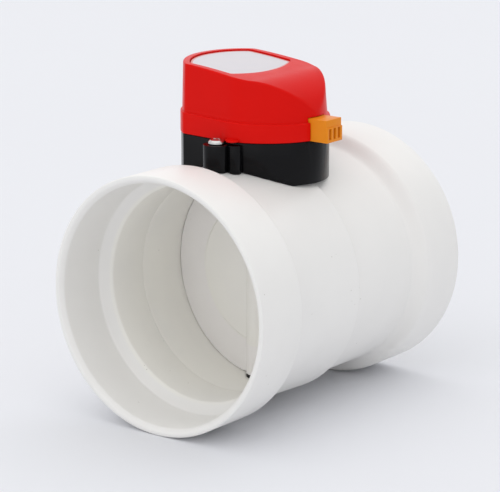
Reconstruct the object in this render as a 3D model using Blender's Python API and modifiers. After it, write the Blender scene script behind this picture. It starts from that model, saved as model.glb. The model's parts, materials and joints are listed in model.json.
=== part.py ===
# Motorized duct damper for 110 mm round duct.
# Metres, +Z up. The duct's axis is the Y axis and the inlet mouth lies at Y = 0.
# The blade's shaft stands on the Z direction at mid-length, under the actuator.
import math

import bmesh
import bpy

# Clearances
FIT_GAP = 0.0003
RUNNING_GAP = 0.0002
OVERSHOOT = 0.002

# Duct body
BODY_LENGTH = 0.1535
DUCT_BORE_RADIUS = 0.0500
SOCKET_BORE_RADIUS = 0.0552
SOCKET_DEPTH = 0.0255
SOCKET_WALL = 0.0038
INNER_SHOULDER_LENGTH = 0.0045
LEAD_IN_DEPTH = 0.0022
LEAD_IN_WIDENING = 0.0018
RIM_EDGE = 0.0006
INLET_BELL_LENGTH = 0.0297
OUTLET_BELL_LENGTH = 0.0268
OUTER_SHOULDER_LENGTH = 0.0025
INLET_WAIST_WALL = 0.0037
INLET_WAIST_DRAFT = 0.0018
OUTLET_WAIST_WALL = 0.0030
SPIGOT_LENGTH = 0.0260
SPIGOT_WALL = 0.0024
JOINT_OFFSET = 0.0004
BODY_SEGMENTS = 64

# Shaft bosses and bushes
SHAFT_RADIUS = 0.0040
BUSH_RADIUS = 0.0060
BUSH_FLANGE_RADIUS = 0.0067
BUSH_FLANGE_THICKNESS = 0.0011
BUSH_FLANGE_SINK = 0.0004
BUSH_END_WALL = 0.0022
BOSS_RADIUS = 0.0082
BOSS_HEIGHT = 0.0566
BOSS_ROOT = 0.0510

# Blade
BLADE_EDGE_GAP = 0.0010
BLADE_THICKNESS = 0.0040
BLADE_CENTRE_RADIUS = 0.0334
BLADE_CENTRE_RISE = 0.0012
BLADE_EDGE_CHAMFER = 0.0004
BLADE_HUB_RADIUS = 0.0068
BLADE_END_GAP = 0.0004
BLADE_CLOSED_ANGLE = math.radians(5.0)
SEAL_GROOVE_WIDTH = 0.0016
SEAL_GROOVE_DEPTH = 0.0021
SEAL_LIP = 0.0007
SEAL_END_ANGLE = math.radians(12.5)
BLADE_SCREW_HEIGHT = 0.0240
BLADE_SCREW_RADIUS = 0.0015
BLADE_SCREW_HEAD_RADIUS = 0.0032
BLADE_SCREW_HEAD_HEIGHT = 0.0018
BLADE_SCREW_REACH = 0.0024
HUB_FLAT_DEPTH = 0.0009
BLADE_SEGMENTS = 48

# Shaft details
SHAFT_FLAT_OFFSET = 0.0030
RING_GROOVE_RADIUS = 0.0026
RING_GROOVE_WIDTH = 0.0020
RING_GROOVE_HEIGHT = 0.0535
RING_CORD_RADIUS = 0.0006
CLIP_GROOVE_RADIUS = 0.0030
CLIP_THICKNESS = 0.0006
CLIP_RADIUS = 0.0060
CLIP_OPENING = 0.0046
SHAFT_TOP = 0.0774

# Housing outline, seen from above, with its centre on the shaft
NOSE_CENTRE = 0.0030
NOSE_LENGTH = 0.0302
NOSE_HALF_WIDTH = 0.0296
NOSE_POWER = 1.8
END_CORNER = -0.0240
END_HALF_WIDTH = 0.0273
END_CENTRE = -0.0033
NOSE_STEPS = 20
SIDE_STEPS = 4
END_STEPS = 8

# Actuator base
BASE_BOTTOM = 0.0474
BASE_INSET = 0.0003
BASE_WALL = 0.0024
SEAM_HEIGHT = 0.0672
BASE_FLOOR = 0.0037
TONGUE_RISE = 0.0023
TONGUE_WALL = 0.0012
EAR_OFFSET = 0.0332
EAR_RADIUS = 0.0060
EAR_DROP = 0.0010
EAR_RIB_X = 0.0078
EAR_RIB_OFFSET = 0.0300
EAR_RIB_RADIUS = 0.0032
POST_RADIUS = 0.0035
POST_TOP = 0.0600
POST_ROOT = 0.0512
EAR_SCREW_RADIUS = 0.0020
EAR_SCREW_TIP = 0.0525
EAR_SCREW_HEAD_RADIUS = 0.0037
EAR_SCREW_HEAD_HEIGHT = 0.0022
SPINDLE_SEAL_HEIGHT = 0.0008
PILLAR_RADIUS = 0.0024

# Actuator cover
LEDGE_HEIGHT_END = 0.0098
LEDGE_HEIGHT_NOSE = 0.0082
UPPER_INSET = 0.0006
COVER_WALL = 0.0022
COVER_DRAFT = 0.0026
END_DRAFT_SHARE = 0.25
ROOF_SHOULDER_X = 0.0120
ROOF_SHOULDER_LIFT = 0.0277
ROOF_RISE = 0.0047
ROOF_ARCH_LENGTH = 0.0500
ROOF_NOSE_INSET = 0.0010
NOSE_FOOT_STEP = 0.0006
ROOF_CURVE_POWER = 1.9
ROOF_STEPS = 14
NOTCH_HEIGHT = 0.0033
LUG_X = 0.0063
LUG_RADIUS = 0.0031
LUG_THICKNESS = 0.0010

# Label
LABEL_CORNER_NEAR = -0.0232
LABEL_CORNER_FAR = 0.0
LABEL_HALF_WIDTH = 0.0222
LABEL_BULGE_NEAR = 0.0095
LABEL_BULGE_FAR = 0.0056
LABEL_THICKNESS = 0.0007
LABEL_SINK = 0.0007
LABEL_BORDER = 0.0003

# Gear train: the output gear, the compound idler and the motor pinion
OUTPUT_MODULE = 0.0010
OUTPUT_TEETH = 38
IDLER_SMALL_TEETH = 10
INPUT_MODULE = 0.0007
IDLER_LARGE_TEETH = 23
PINION_TEETH = 10
PRESSURE_ANGLE = math.radians(20.0)
BACKLASH_SHARE = 0.14
OUTPUT_GEAR_BOTTOM = 0.0600
OUTPUT_GEAR_THICKNESS = 0.0048
OUTPUT_HUB_RADIUS = 0.0072
OUTPUT_WINDOW_RADIUS = 0.0034
OUTPUT_WINDOW_CIRCLE = 0.0130
OUTPUT_WINDOW_COUNT = 4
IDLER_BOTTOM = 0.0598
IDLER_STEP_HEIGHT = 0.0656
IDLER_TOP = 0.0694
IDLER_BOSS_RADIUS = 0.0036
AXLE_RADIUS = 0.0015
AXLE_FOOT = 0.0560
GEAR_PLATE_BOTTOM = 0.0700
GEAR_PLATE_THICKNESS = 0.0015
GEAR_PLATE_INSET = 0.0056
GEAR_PLATE_END_X = 0.0185

# Limit cam and switches
CAM_BOTTOM = 0.0720
CAM_THICKNESS = 0.0036
CAM_RADIUS = 0.0062
CAM_LOBE_RADIUS = 0.0084
CAM_LOBE_HALF_ANGLE = math.radians(13.0)
SWITCH_ANGLE = math.radians(42.5)
SWITCH_LENGTH = 0.0126
SWITCH_DEPTH = 0.0062
SWITCH_HEIGHT = 0.0053
BUTTON_LENGTH = 0.0013
BUTTON_WIDTH = 0.0024
BUTTON_HEIGHT = 0.0016

# Motor
MOTOR_RADIUS = 0.0120
MOTOR_LENGTH = 0.0168
MOTOR_SHAFT_OFFSET = 0.0080
MOTOR_BOSS_RADIUS = 0.0045
MOTOR_EAR_OFFSET = 0.0155
MOTOR_EAR_RADIUS = 0.0033
MOTOR_EAR_THICKNESS = 0.0010
MOTOR_SHAFT_RADIUS = 0.0015
MOTOR_SHAFT_INSERT = 0.0040
LEAD_CAP_WIDTH = 0.0120
LEAD_CAP_REACH = 0.0036
LEAD_CAP_BOTTOM = 0.0792
LEAD_CAP_HEIGHT = 0.0080
LEAD_RADIUS = 0.0006
LEAD_SPREAD = 0.0022

# Board and what stands on it
BOARD_BOTTOM = 0.0775
BOARD_THICKNESS = 0.0016
BOARD_START_X = 0.0056
BOARD_RADIUS = 0.0246
BOARD_POST_X = 0.0150
BOARD_POST_OFFSET = 0.0176
CAPACITOR_X = 0.0195
CAPACITOR_OFFSET = -0.0080
CAPACITOR_RADIUS = 0.0040
CAPACITOR_HEIGHT = 0.0080
RELAY_X = 0.0160
RELAY_OFFSET = 0.0070
RELAY_SIZE = (0.0100, 0.0080, 0.0070)

# Small machine screws that hold the motor, the plate and the board
SMALL_SCREW_RADIUS = 0.0012
SMALL_SCREW_HEAD_RADIUS = 0.0026
SMALL_SCREW_HEAD_HEIGHT = 0.0016
SMALL_SCREW_FOOT = 0.0625
SPACER_RADIUS = 0.0026

# Terminal block
TERMINAL_BACK_X = 0.0245
TERMINAL_FACE_X = 0.0412
TERMINAL_WIDTH = 0.0115
TERMINAL_SINK = 0.0002
TERMINAL_HEIGHT = 0.0102
TERMINAL_POLES = 3
TERMINAL_PITCH = 0.0034
TERMINAL_SLOT_WIDTH = 0.0017
TERMINAL_SLOT_FOOT = 0.0013
TERMINAL_SLOT_HEIGHT = 0.0049
TERMINAL_SLOT_DEPTH = 0.0085
TERMINAL_STEP_RISE = 0.0067
TERMINAL_STEP_BACK = 0.0006
CLAMP_LENGTH = 0.0040

# Places that follow from the sizes above
SPINDLE_Y = BODY_LENGTH / 2
JOINT_Y = SPINDLE_Y + JOINT_OFFSET
BELL_RADIUS = SOCKET_BORE_RADIUS + SOCKET_WALL
SPIGOT_START_Y = JOINT_Y - SPIGOT_LENGTH
SPIGOT_RADIUS = DUCT_BORE_RADIUS + SPIGOT_WALL
OUTLET_WAIST_RADIUS = DUCT_BORE_RADIUS + OUTLET_WAIST_WALL
INLET_WAIST_RADIUS = DUCT_BORE_RADIUS + INLET_WAIST_WALL
JOINT_RADIUS = INLET_WAIST_RADIUS + INLET_WAIST_DRAFT
FLOOR_RADIUS = JOINT_RADIUS + FIT_GAP + BASE_FLOOR
BLADE_RADIUS = DUCT_BORE_RADIUS - BLADE_EDGE_GAP
SEAT_FLOOR = DUCT_BORE_RADIUS + BUSH_FLANGE_SINK
FLANGE_SEAT = SEAT_FLOOR - FIT_GAP
FLANGE_FACE = FLANGE_SEAT - BUSH_FLANGE_THICKNESS
BLADE_END = FLANGE_FACE - BLADE_END_GAP
BASE_RIM = SEAM_HEIGHT - FIT_GAP
LEDGE_TOP_END = SEAM_HEIGHT + LEDGE_HEIGHT_END
LEDGE_TOP_NOSE = SEAM_HEIGHT + LEDGE_HEIGHT_NOSE
NOSE_FOOT = LEDGE_TOP_NOSE + NOSE_FOOT_STEP
ROOF_SHOULDER_HEIGHT = SEAM_HEIGHT + ROOF_SHOULDER_LIFT
EAR_TOP = SEAM_HEIGHT - EAR_DROP
NOTCH_TOP = SEAM_HEIGHT + NOTCH_HEIGHT
TERMINAL_BOTTOM = SEAM_HEIGHT - TERMINAL_SINK
TERMINAL_TOP = TERMINAL_BOTTOM + TERMINAL_HEIGHT
TERMINAL_SLOT_BOTTOM = TERMINAL_BOTTOM + TERMINAL_SLOT_FOOT
TERMINAL_SLOT_TOP = TERMINAL_SLOT_BOTTOM + TERMINAL_SLOT_HEIGHT
TERMINAL_STEP_HEIGHT = TERMINAL_BOTTOM + TERMINAL_STEP_RISE
ROOF_END_X = NOSE_CENTRE + NOSE_LENGTH - ROOF_NOSE_INSET
GEAR_PLATE_TOP = GEAR_PLATE_BOTTOM + GEAR_PLATE_THICKNESS
PILLAR_TOP = GEAR_PLATE_BOTTOM - FIT_GAP
MOTOR_BOTTOM = GEAR_PLATE_TOP + FIT_GAP
BOARD_TOP = BOARD_BOTTOM + BOARD_THICKNESS
IDLER_X = -OUTPUT_MODULE * (OUTPUT_TEETH + IDLER_SMALL_TEETH) / 2
PINION_X = IDLER_X + INPUT_MODULE * (IDLER_LARGE_TEETH + PINION_TEETH) / 2
MOTOR_X = PINION_X - MOTOR_SHAFT_OFFSET
PINION_BOTTOM = IDLER_STEP_HEIGHT
PINION_TOP = IDLER_TOP
CLIP_BOTTOM = CAM_BOTTOM + CAM_THICKNESS + FIT_GAP
SPINDLE_SEAL_BOTTOM = BOSS_HEIGHT + FIT_GAP
SPINDLE_SEAL_TOP = SPINDLE_SEAL_BOTTOM + SPINDLE_SEAL_HEIGHT
BOSS_POCKET_TOP = SPINDLE_SEAL_TOP + FIT_GAP


def clear_scene():
    for thing in list(bpy.data.objects):
        bpy.data.objects.remove(thing, do_unlink=True)


def new_collection(name):
    group = bpy.data.collections.new(name)
    bpy.context.scene.collection.children.link(group)
    return group


clear_scene()
PARTS = new_collection("motorized_duct_damper")
CUTTERS = new_collection("cutters")


def material(name, colour, roughness, metallic=0.0):
    found = bpy.data.materials.get(name)
    if found:
        return found
    made = bpy.data.materials.new(name)
    made.use_nodes = True
    shader = made.node_tree.nodes["Principled BSDF"]
    shader.inputs["Base Color"].default_value = (*colour, 1.0)
    shader.inputs["Roughness"].default_value = roughness
    shader.inputs["Metallic"].default_value = metallic
    made.diffuse_color = (*colour, 1.0)
    return made


def white_pvc():
    return material("white_pvc", (0.80, 0.80, 0.79), 0.35)


def red_plastic():
    return material("red_plastic", (0.66, 0.02, 0.02), 0.35)


def black_plastic():
    return material("black_plastic", (0.012, 0.012, 0.014), 0.4)


def orange_plastic():
    return material("orange_plastic", (0.75, 0.28, 0.04), 0.45)


def steel():
    return material("steel", (0.60, 0.60, 0.60), 0.3, 1.0)


def brass():
    return material("brass", (0.70, 0.50, 0.18), 0.3, 1.0)


def rubber():
    return material("rubber", (0.03, 0.03, 0.03), 0.7)


def pale_silicone():
    return material("pale_silicone", (0.66, 0.64, 0.60), 0.6)


def gear_plastic():
    return material("gear_plastic", (0.75, 0.73, 0.66), 0.4)


def board_green():
    return material("board_green", (0.02, 0.16, 0.07), 0.4)


def label_white():
    return material("label_white", (0.82, 0.82, 0.83), 0.5)


def lead_red():
    return material("lead_red", (0.60, 0.03, 0.03), 0.5)


def place(thing, group):
    """Link an object to one collection; cutters are only guides, drawn as wires."""
    for old in list(thing.users_collection):
        old.objects.unlink(thing)
    group.objects.link(thing)
    thing.hide_render = group is CUTTERS
    thing.display_type = "WIRE" if group is CUTTERS else "TEXTURED"
    return thing


def as_part(thing, finish):
    """Give a finished object its finish and shade its round faces smooth."""
    place(thing, PARTS)
    thing.data.materials.clear()
    thing.data.materials.append(finish)
    thing.data.shade_smooth()
    thing.data.set_sharp_from_angle(angle=math.radians(35))
    return thing


def cylinder(name, radius, bottom, top, x=0.0, y=SPINDLE_Y, segments=24):
    """Upright round bar between two heights."""
    mesh = bpy.data.meshes.new(name)
    shape = bmesh.new()
    bmesh.ops.create_cone(
        shape, cap_ends=True, segments=segments, radius1=radius, radius2=radius, depth=top - bottom
    )
    shape.to_mesh(mesh)
    shape.free()
    thing = bpy.data.objects.new(name, mesh)
    thing.location = (x, y, (top + bottom) / 2)
    return place(thing, CUTTERS)


def lay_along_y(thing):
    thing.rotation_euler = (math.radians(90), 0.0, 0.0)
    return thing


def box(name, low, high):
    """Box between two opposite corners."""
    mesh = bpy.data.meshes.new(name)
    shape = bmesh.new()
    bmesh.ops.create_cube(shape, size=1.0)
    bmesh.ops.scale(shape, vec=[b - a for a, b in zip(low, high)], verts=shape.verts)
    shape.to_mesh(mesh)
    shape.free()
    thing = bpy.data.objects.new(name, mesh)
    thing.location = [(a + b) / 2 for a, b in zip(low, high)]
    return place(thing, CUTTERS)


def turned(name, profile, closed=True, segments=BODY_SEGMENTS):
    """Solid of revolution about local Z from (radius, height) points, outer side first."""
    mesh = bpy.data.meshes.new(name)
    last = len(profile) if closed else len(profile) - 1
    edges = [(i, (i + 1) % len(profile)) for i in range(last)]
    mesh.from_pydata([(r, 0.0, h) for r, h in profile], edges, [])
    thing = bpy.data.objects.new(name, mesh)
    screw = thing.modifiers.new("Screw", "SCREW")
    screw.axis = "Z"
    screw.steps = segments
    screw.render_steps = segments
    screw.use_merge_vertices = True
    screw.merge_threshold = 0.00001
    screw.use_smooth_shade = False
    return place(thing, CUTTERS)


def along_duct(thing, y=0.0):
    """Turn a revolved shape so that its local Z runs along the duct."""
    thing.rotation_euler = (math.radians(-90), 0.0, 0.0)
    thing.location = (0.0, y, 0.0)
    return thing


def outline_solid(name, loops, bottom, top, taper=0.0):
    """Upright plate from closed outlines; the first is the outer one, the rest are holes."""
    curve = bpy.data.curves.new(name, "CURVE")
    curve.dimensions = "2D"
    curve.fill_mode = "BOTH"
    curve.extrude = (top - bottom) / 2
    curve.render_resolution_u = 0
    for loop in loops:
        spline = curve.splines.new("POLY")
        spline.points.add(len(loop) - 1)
        for point, (x, y) in zip(spline.points, loop):
            point.co = (x, y, 0.0, 1.0)
        spline.use_cyclic_u = True
    guide = bpy.data.objects.new(name + "_outline", curve)
    guide.location = (0.0, 0.0, (top + bottom) / 2)
    bpy.context.scene.collection.objects.link(guide)
    thing = meshed(guide, name)
    if taper:
        narrow_top(thing, taper)
    return thing


def narrow_top(thing, taper):
    """Draw the top edge of an upright plate in towards the middle, least at the bowed end."""
    top = max(v.co.z for v in thing.data.vertices)
    for v in thing.data.vertices:
        if v.co.z > top - FIT_GAP:
            along = (v.co.x - END_CORNER) / (NOSE_CENTRE - END_CORNER)
            share = END_DRAFT_SHARE + (1.0 - END_DRAFT_SHARE) * min(1.0, max(0.0, along))
            lengthwise = taper if v.co.x > 0.0 else taper * END_DRAFT_SHARE
            v.co.x *= 1.0 - lengthwise / NOSE_LENGTH
            v.co.y = SPINDLE_Y + (v.co.y - SPINDLE_Y) * (1.0 - taper * share / NOSE_HALF_WIDTH)


def meshed(guide, name):
    """Turn a curve object into a closed mesh object in its place."""
    graph = bpy.context.evaluated_depsgraph_get()
    graph.update()
    mesh = bpy.data.meshes.new_from_object(guide.evaluated_get(graph))
    mesh.name = name
    shape = bmesh.new()
    shape.from_mesh(mesh)
    bmesh.ops.remove_doubles(shape, verts=shape.verts, dist=0.000001)
    bmesh.ops.recalc_face_normals(shape, faces=shape.faces)
    shape.to_mesh(mesh)
    shape.free()
    thing = bpy.data.objects.new(name, mesh)
    thing.matrix_world = guide.matrix_world.copy()
    thing.location = guide.location
    thing.rotation_euler = guide.rotation_euler
    bpy.data.objects.remove(guide, do_unlink=True)
    return place(thing, CUTTERS)


def side_solid(name, profile, half):
    """Solid whose side view is an outline in X and Z, drawn across the duct's length."""
    thing = outline_solid(name, [profile], -half, half)
    thing.rotation_euler = (math.radians(90), 0.0, 0.0)
    thing.location = (0.0, SPINDLE_Y, 0.0)
    return thing


def boolean(thing, tool, kind):
    change = thing.modifiers.new(kind.title(), "BOOLEAN")
    change.operation = kind
    change.solver = "EXACT"
    change.object = tool
    return thing


def cut(thing, *tools):
    for tool in tools:
        boolean(thing, tool, "DIFFERENCE")
    return thing


def join(thing, *tools):
    for tool in tools:
        boolean(thing, tool, "UNION")
    return thing


def keep_common(thing, tool):
    return boolean(thing, tool, "INTERSECT")


def circle(radius, x=0.0, y=SPINDLE_Y, count=24):
    turn = 2 * math.pi / count
    return [(x + radius * math.cos(i * turn), y + radius * math.sin(i * turn)) for i in range(count)]


def arc(centre_x, centre_y, radius, start, end, steps):
    span = (end - start) / steps
    return [
        (centre_x + radius * math.cos(start + i * span), centre_y + radius * math.sin(start + i * span))
        for i in range(steps + 1)
    ]


def housing_outline(inset):
    """Plan of the actuator: a round nose towards +X, straight sides and a bowed end."""
    half = END_HALF_WIDTH - inset
    corner_x = END_CORNER + inset * 0.4
    end_radius = math.hypot(half, corner_x - END_CENTRE)
    corner_angle = math.atan2(half, corner_x - END_CENTRE)
    nose = []
    for i in range(NOSE_STEPS + 1):
        turn = math.pi * (i / NOSE_STEPS - 0.5)
        along = math.cos(turn) ** (2 / NOSE_POWER) if abs(turn) < math.pi / 2 else 0.0
        across = math.copysign(abs(math.sin(turn)) ** (2 / NOSE_POWER), turn)
        nose.append(
            (
                NOSE_CENTRE + (NOSE_LENGTH - inset) * along,
                SPINDLE_Y + (NOSE_HALF_WIDTH - inset) * across,
            )
        )
    end = arc(END_CENTRE, SPINDLE_Y, end_radius, corner_angle, 2 * math.pi - corner_angle, END_STEPS)
    return nose + side_points(nose[-1], end[0]) + end + side_points(end[-1], nose[0])


def side_points(start, finish):
    """Points between two corners, for a straight side whose draft changes along it."""
    points = []
    for i in range(1, SIDE_STEPS):
        points.append(tuple(a + (b - a) * i / SIDE_STEPS for a, b in zip(start, finish)))
    return points


def half_width(x):
    """Half of the housing's width, at a place on its round nose."""
    along = (x - NOSE_CENTRE) / NOSE_LENGTH
    return NOSE_HALF_WIDTH * (1.0 - along**NOSE_POWER) ** (1.0 / NOSE_POWER)


def roof_height(x):
    """Height of the cover's top along the actuator: a slight arch, then a round nose."""
    if x <= ROOF_SHOULDER_X:
        along = (ROOF_SHOULDER_X - x) / ROOF_ARCH_LENGTH
        return ROOF_SHOULDER_HEIGHT + ROOF_RISE * math.sin(math.pi / 2 * min(1.0, along))
    along = min(1.0, (x - ROOF_SHOULDER_X) / (ROOF_END_X - ROOF_SHOULDER_X))
    drop = (1.0 - along**ROOF_CURVE_POWER) ** (1.0 / ROOF_CURVE_POWER)
    return NOSE_FOOT + (ROOF_SHOULDER_HEIGHT - NOSE_FOOT) * drop


def roof_line(sink=0.0, reach_in=0.0):
    """Points along the roof from the bowed end to the nose, sunk below it and drawn in at the nose."""
    far_end = END_CORNER - END_HALF_WIDTH
    nose_tip = ROOF_END_X
    flat = [far_end + (ROOF_SHOULDER_X - far_end) * i / ROOF_STEPS for i in range(ROOF_STEPS)]
    bend = [
        ROOF_SHOULDER_X + (nose_tip - ROOF_SHOULDER_X) * math.sin(math.pi / 2 * i / ROOF_STEPS)
        for i in range(ROOF_STEPS + 1)
    ]
    line = []
    for x in flat + bend:
        pull = max(0.0, x - ROOF_SHOULDER_X) / (nose_tip - ROOF_SHOULDER_X)
        line.append((x - reach_in * pull, roof_height(x) - sink))
    return line


def roof_side(name, bottom, sink=0.0, reach_in=0.0):
    """Solid under the roof line, wider than the housing."""
    line = roof_line(sink, reach_in)
    profile = [(line[0][0], bottom), (line[-1][0], bottom)] + line[::-1]
    return side_solid(name, profile, NOSE_LENGTH + OVERSHOOT)


def inlet_body():
    profile = [
        (JOINT_RADIUS - RIM_EDGE, JOINT_Y),
        (JOINT_RADIUS, JOINT_Y - RIM_EDGE),
        (INLET_WAIST_RADIUS, INLET_BELL_LENGTH + OUTER_SHOULDER_LENGTH),
        (BELL_RADIUS, INLET_BELL_LENGTH),
        (BELL_RADIUS, RIM_EDGE),
        (BELL_RADIUS - RIM_EDGE, 0.0),
        (SOCKET_BORE_RADIUS + LEAD_IN_WIDENING, 0.0),
        (SOCKET_BORE_RADIUS, LEAD_IN_DEPTH),
        (SOCKET_BORE_RADIUS, SOCKET_DEPTH),
        (DUCT_BORE_RADIUS, SOCKET_DEPTH + INNER_SHOULDER_LENGTH),
        (DUCT_BORE_RADIUS, SPIGOT_START_Y),
        (SPIGOT_RADIUS + FIT_GAP, SPIGOT_START_Y),
        (SPIGOT_RADIUS + FIT_GAP, JOINT_Y),
    ]
    body = along_duct(turned("inlet_body", profile))
    join(body, screw_post("inlet_screw_post", SPINDLE_Y - EAR_OFFSET))
    reach = BOSS_RADIUS + FIT_GAP
    notch_root = BOSS_ROOT - OVERSHOOT
    for side, low, high in (("upper", notch_root, BELL_RADIUS), ("lower", -BELL_RADIUS, -notch_root)):
        cut(
            body,
            cylinder(side + "_boss_notch", reach, low, high),
            box(side + "_boss_slot", (-reach, SPINDLE_Y, low), (reach, JOINT_Y + OVERSHOOT, high)),
        )
    cut(body, post_hole("inlet_post_hole", SPINDLE_Y - EAR_OFFSET))
    return as_part(body, white_pvc())


def screw_post(name, y):
    return cylinder(name, POST_RADIUS, POST_ROOT, POST_TOP, y=y)


def post_hole(name, y):
    tip = EAR_SCREW_TIP - FIT_GAP
    return cylinder(name, EAR_SCREW_RADIUS + FIT_GAP, tip, POST_TOP + OVERSHOOT, y=y)


def outlet_body():
    end = BODY_LENGTH
    profile = [
        (BELL_RADIUS - RIM_EDGE, end),
        (BELL_RADIUS, end - RIM_EDGE),
        (BELL_RADIUS, end - OUTLET_BELL_LENGTH),
        (OUTLET_WAIST_RADIUS, end - OUTLET_BELL_LENGTH - OUTER_SHOULDER_LENGTH),
        (OUTLET_WAIST_RADIUS, JOINT_Y + FIT_GAP),
        (SPIGOT_RADIUS, JOINT_Y + FIT_GAP),
        (SPIGOT_RADIUS, SPIGOT_START_Y + FIT_GAP),
        (DUCT_BORE_RADIUS, SPIGOT_START_Y + FIT_GAP),
        (DUCT_BORE_RADIUS, end - SOCKET_DEPTH - INNER_SHOULDER_LENGTH),
        (SOCKET_BORE_RADIUS, end - SOCKET_DEPTH),
        (SOCKET_BORE_RADIUS, end - LEAD_IN_DEPTH),
        (SOCKET_BORE_RADIUS + LEAD_IN_WIDENING, end),
    ]
    body = along_duct(turned("outlet_body", profile))
    join(
        body,
        cylinder("upper_boss", BOSS_RADIUS, BOSS_ROOT, BOSS_HEIGHT),
        cylinder("lower_boss", BOSS_RADIUS, -BOSS_HEIGHT, -BOSS_ROOT),
        screw_post("outlet_screw_post", SPINDLE_Y + EAR_OFFSET),
    )
    reach = BUSH_FLANGE_RADIUS + FIT_GAP
    seat_start = DUCT_BORE_RADIUS - 2 * OVERSHOOT
    bore = BUSH_RADIUS + FIT_GAP
    cut(
        body,
        cylinder("upper_bush_bore", bore, seat_start, BOSS_HEIGHT + OVERSHOOT),
        cylinder("lower_bush_bore", bore, -BOSS_HEIGHT - OVERSHOOT, -seat_start),
        cylinder("upper_flange_seat", reach, seat_start, SEAT_FLOOR),
        cylinder("lower_flange_seat", reach, -SEAT_FLOOR, -seat_start),
        post_hole("outlet_post_hole", SPINDLE_Y + EAR_OFFSET),
    )
    return as_part(body, white_pvc())


def upper_bush():
    bush = cylinder("upper_bush", BUSH_RADIUS, FLANGE_FACE + FIT_GAP, BOSS_HEIGHT)
    join(bush, cylinder("upper_bush_flange", BUSH_FLANGE_RADIUS, FLANGE_FACE, FLANGE_SEAT))
    hole = SHAFT_RADIUS + RUNNING_GAP
    cut(bush, cylinder("upper_bush_hole", hole, FLANGE_FACE - OVERSHOOT, BOSS_HEIGHT + OVERSHOOT))
    return as_part(bush, black_plastic())


def lower_bush():
    bush = cylinder("lower_bush", BUSH_RADIUS, -BOSS_HEIGHT, -FLANGE_FACE - FIT_GAP)
    join(bush, cylinder("lower_bush_flange", BUSH_FLANGE_RADIUS, -FLANGE_SEAT, -FLANGE_FACE))
    hole = SHAFT_RADIUS + RUNNING_GAP
    cut(bush, cylinder("lower_bush_hole", hole, BUSH_END_WALL - BOSS_HEIGHT, OVERSHOOT - FLANGE_FACE))
    return as_part(bush, black_plastic())


def spindle_empty():
    """Carries everything that turns with the blade; its Z axis is the shaft's axis."""
    empty = bpy.data.objects.new("spindle_axis", None)
    empty.location = (0.0, SPINDLE_Y, 0.0)
    empty.rotation_euler = (0.0, 0.0, -BLADE_CLOSED_ANGLE)
    PARTS.objects.link(empty)
    return empty


def carry(thing, empty):
    """Parent a piece to an empty, measured from that empty's own axes."""
    thing.parent = empty
    return thing


def centred(thing):
    """Take an object that was built over the shaft back to the shaft's own axes."""
    thing.location = (thing.location.x, thing.location.y - SPINDLE_Y, thing.location.z)
    return thing


def centred_outline(loop):
    return [(x, y - SPINDLE_Y) for x, y in loop]


def blade(empty):
    half = BLADE_THICKNESS / 2
    groove = SEAL_GROOVE_WIDTH / 2
    top = half + BLADE_CENTRE_RISE
    floor_radius = BLADE_RADIUS - SEAL_GROOVE_DEPTH
    half_profile = [
        (0.0, top),
        (BLADE_CENTRE_RADIUS - BLADE_CENTRE_RISE, top),
        (BLADE_CENTRE_RADIUS, half),
        (BLADE_RADIUS - BLADE_EDGE_CHAMFER, half),
        (BLADE_RADIUS, half - BLADE_EDGE_CHAMFER),
        (BLADE_RADIUS, groove),
        (floor_radius, groove),
    ]
    profile = half_profile + [(r, -h) for r, h in half_profile[::-1]]
    disc = turned("blade", profile, closed=False, segments=BLADE_SEGMENTS)
    disc.rotation_euler = (math.radians(-90), 0.0, 0.0)
    hub_end = BLADE_END - FIT_GAP
    join(disc, carry(centred(cylinder("blade_hub", BLADE_HUB_RADIUS, -hub_end, hub_end)), empty))
    wide = BLADE_RADIUS + OVERSHOOT
    tall = BLADE_RADIUS + OVERSHOOT
    cut(
        disc,
        carry(centred(cylinder("blade_bore", SHAFT_RADIUS + FIT_GAP, -tall, tall)), empty),
        carry(box("blade_top_trim", (-wide, -wide, BLADE_END), (wide, wide, tall)), empty),
        carry(box("blade_foot_trim", (-wide, -wide, -tall), (wide, wide, -BLADE_END)), empty),
    )
    for name, height in (("upper", BLADE_SCREW_HEIGHT), ("lower", -BLADE_SCREW_HEIGHT)):
        head_reach = BLADE_SCREW_HEAD_RADIUS + FIT_GAP
        shank_reach = BLADE_SCREW_RADIUS + FIT_GAP
        cut(
            disc,
            carry(cross_bar(name + "_head_seat", head_reach, hub_flat(), wide, height), empty),
            carry(cross_bar(name + "_screw_way", shank_reach, 0.0, wide, height), empty),
        )
    as_part(disc, white_pvc())
    return carry(disc, empty)


def hub_flat():
    """Distance from the shaft's axis to the flats that the blade screws' heads sit on."""
    return BLADE_HUB_RADIUS - HUB_FLAT_DEPTH


def cross_bar(name, radius, start, end, height, segments=24):
    """Round bar along local Y, for the blade screws and their holes."""
    bar = cylinder(name, radius, start, end, segments=segments)
    bar.rotation_euler = (math.radians(-90), 0.0, 0.0)
    bar.location = (0.0, (start + end) / 2, height)
    return bar


def blade_seal(name, side, empty):
    """Half ring of pale silicone in the blade's edge groove, from pole to pole."""
    inner = BLADE_RADIUS - SEAL_GROOVE_DEPTH + FIT_GAP
    outer = BLADE_RADIUS + SEAL_LIP
    half = SEAL_GROOVE_WIDTH / 2 - FIT_GAP
    profile = [(outer, half), (outer, -half), (inner, -half), (inner, half)]
    ring = turned(name, profile, segments=BLADE_SEGMENTS)
    ring.rotation_euler = (math.radians(-90), 0.0, 0.0)
    limit = outer * math.sin(SEAL_END_ANGLE)
    far = outer + OVERSHOOT
    low, high = (-far, limit) if side > 0 else (-limit, far)
    cut(ring, carry(box(name + "_gap", (low, -far, -far), (high, far, far)), empty))
    as_part(ring, pale_silicone())
    return carry(ring, empty)


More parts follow.
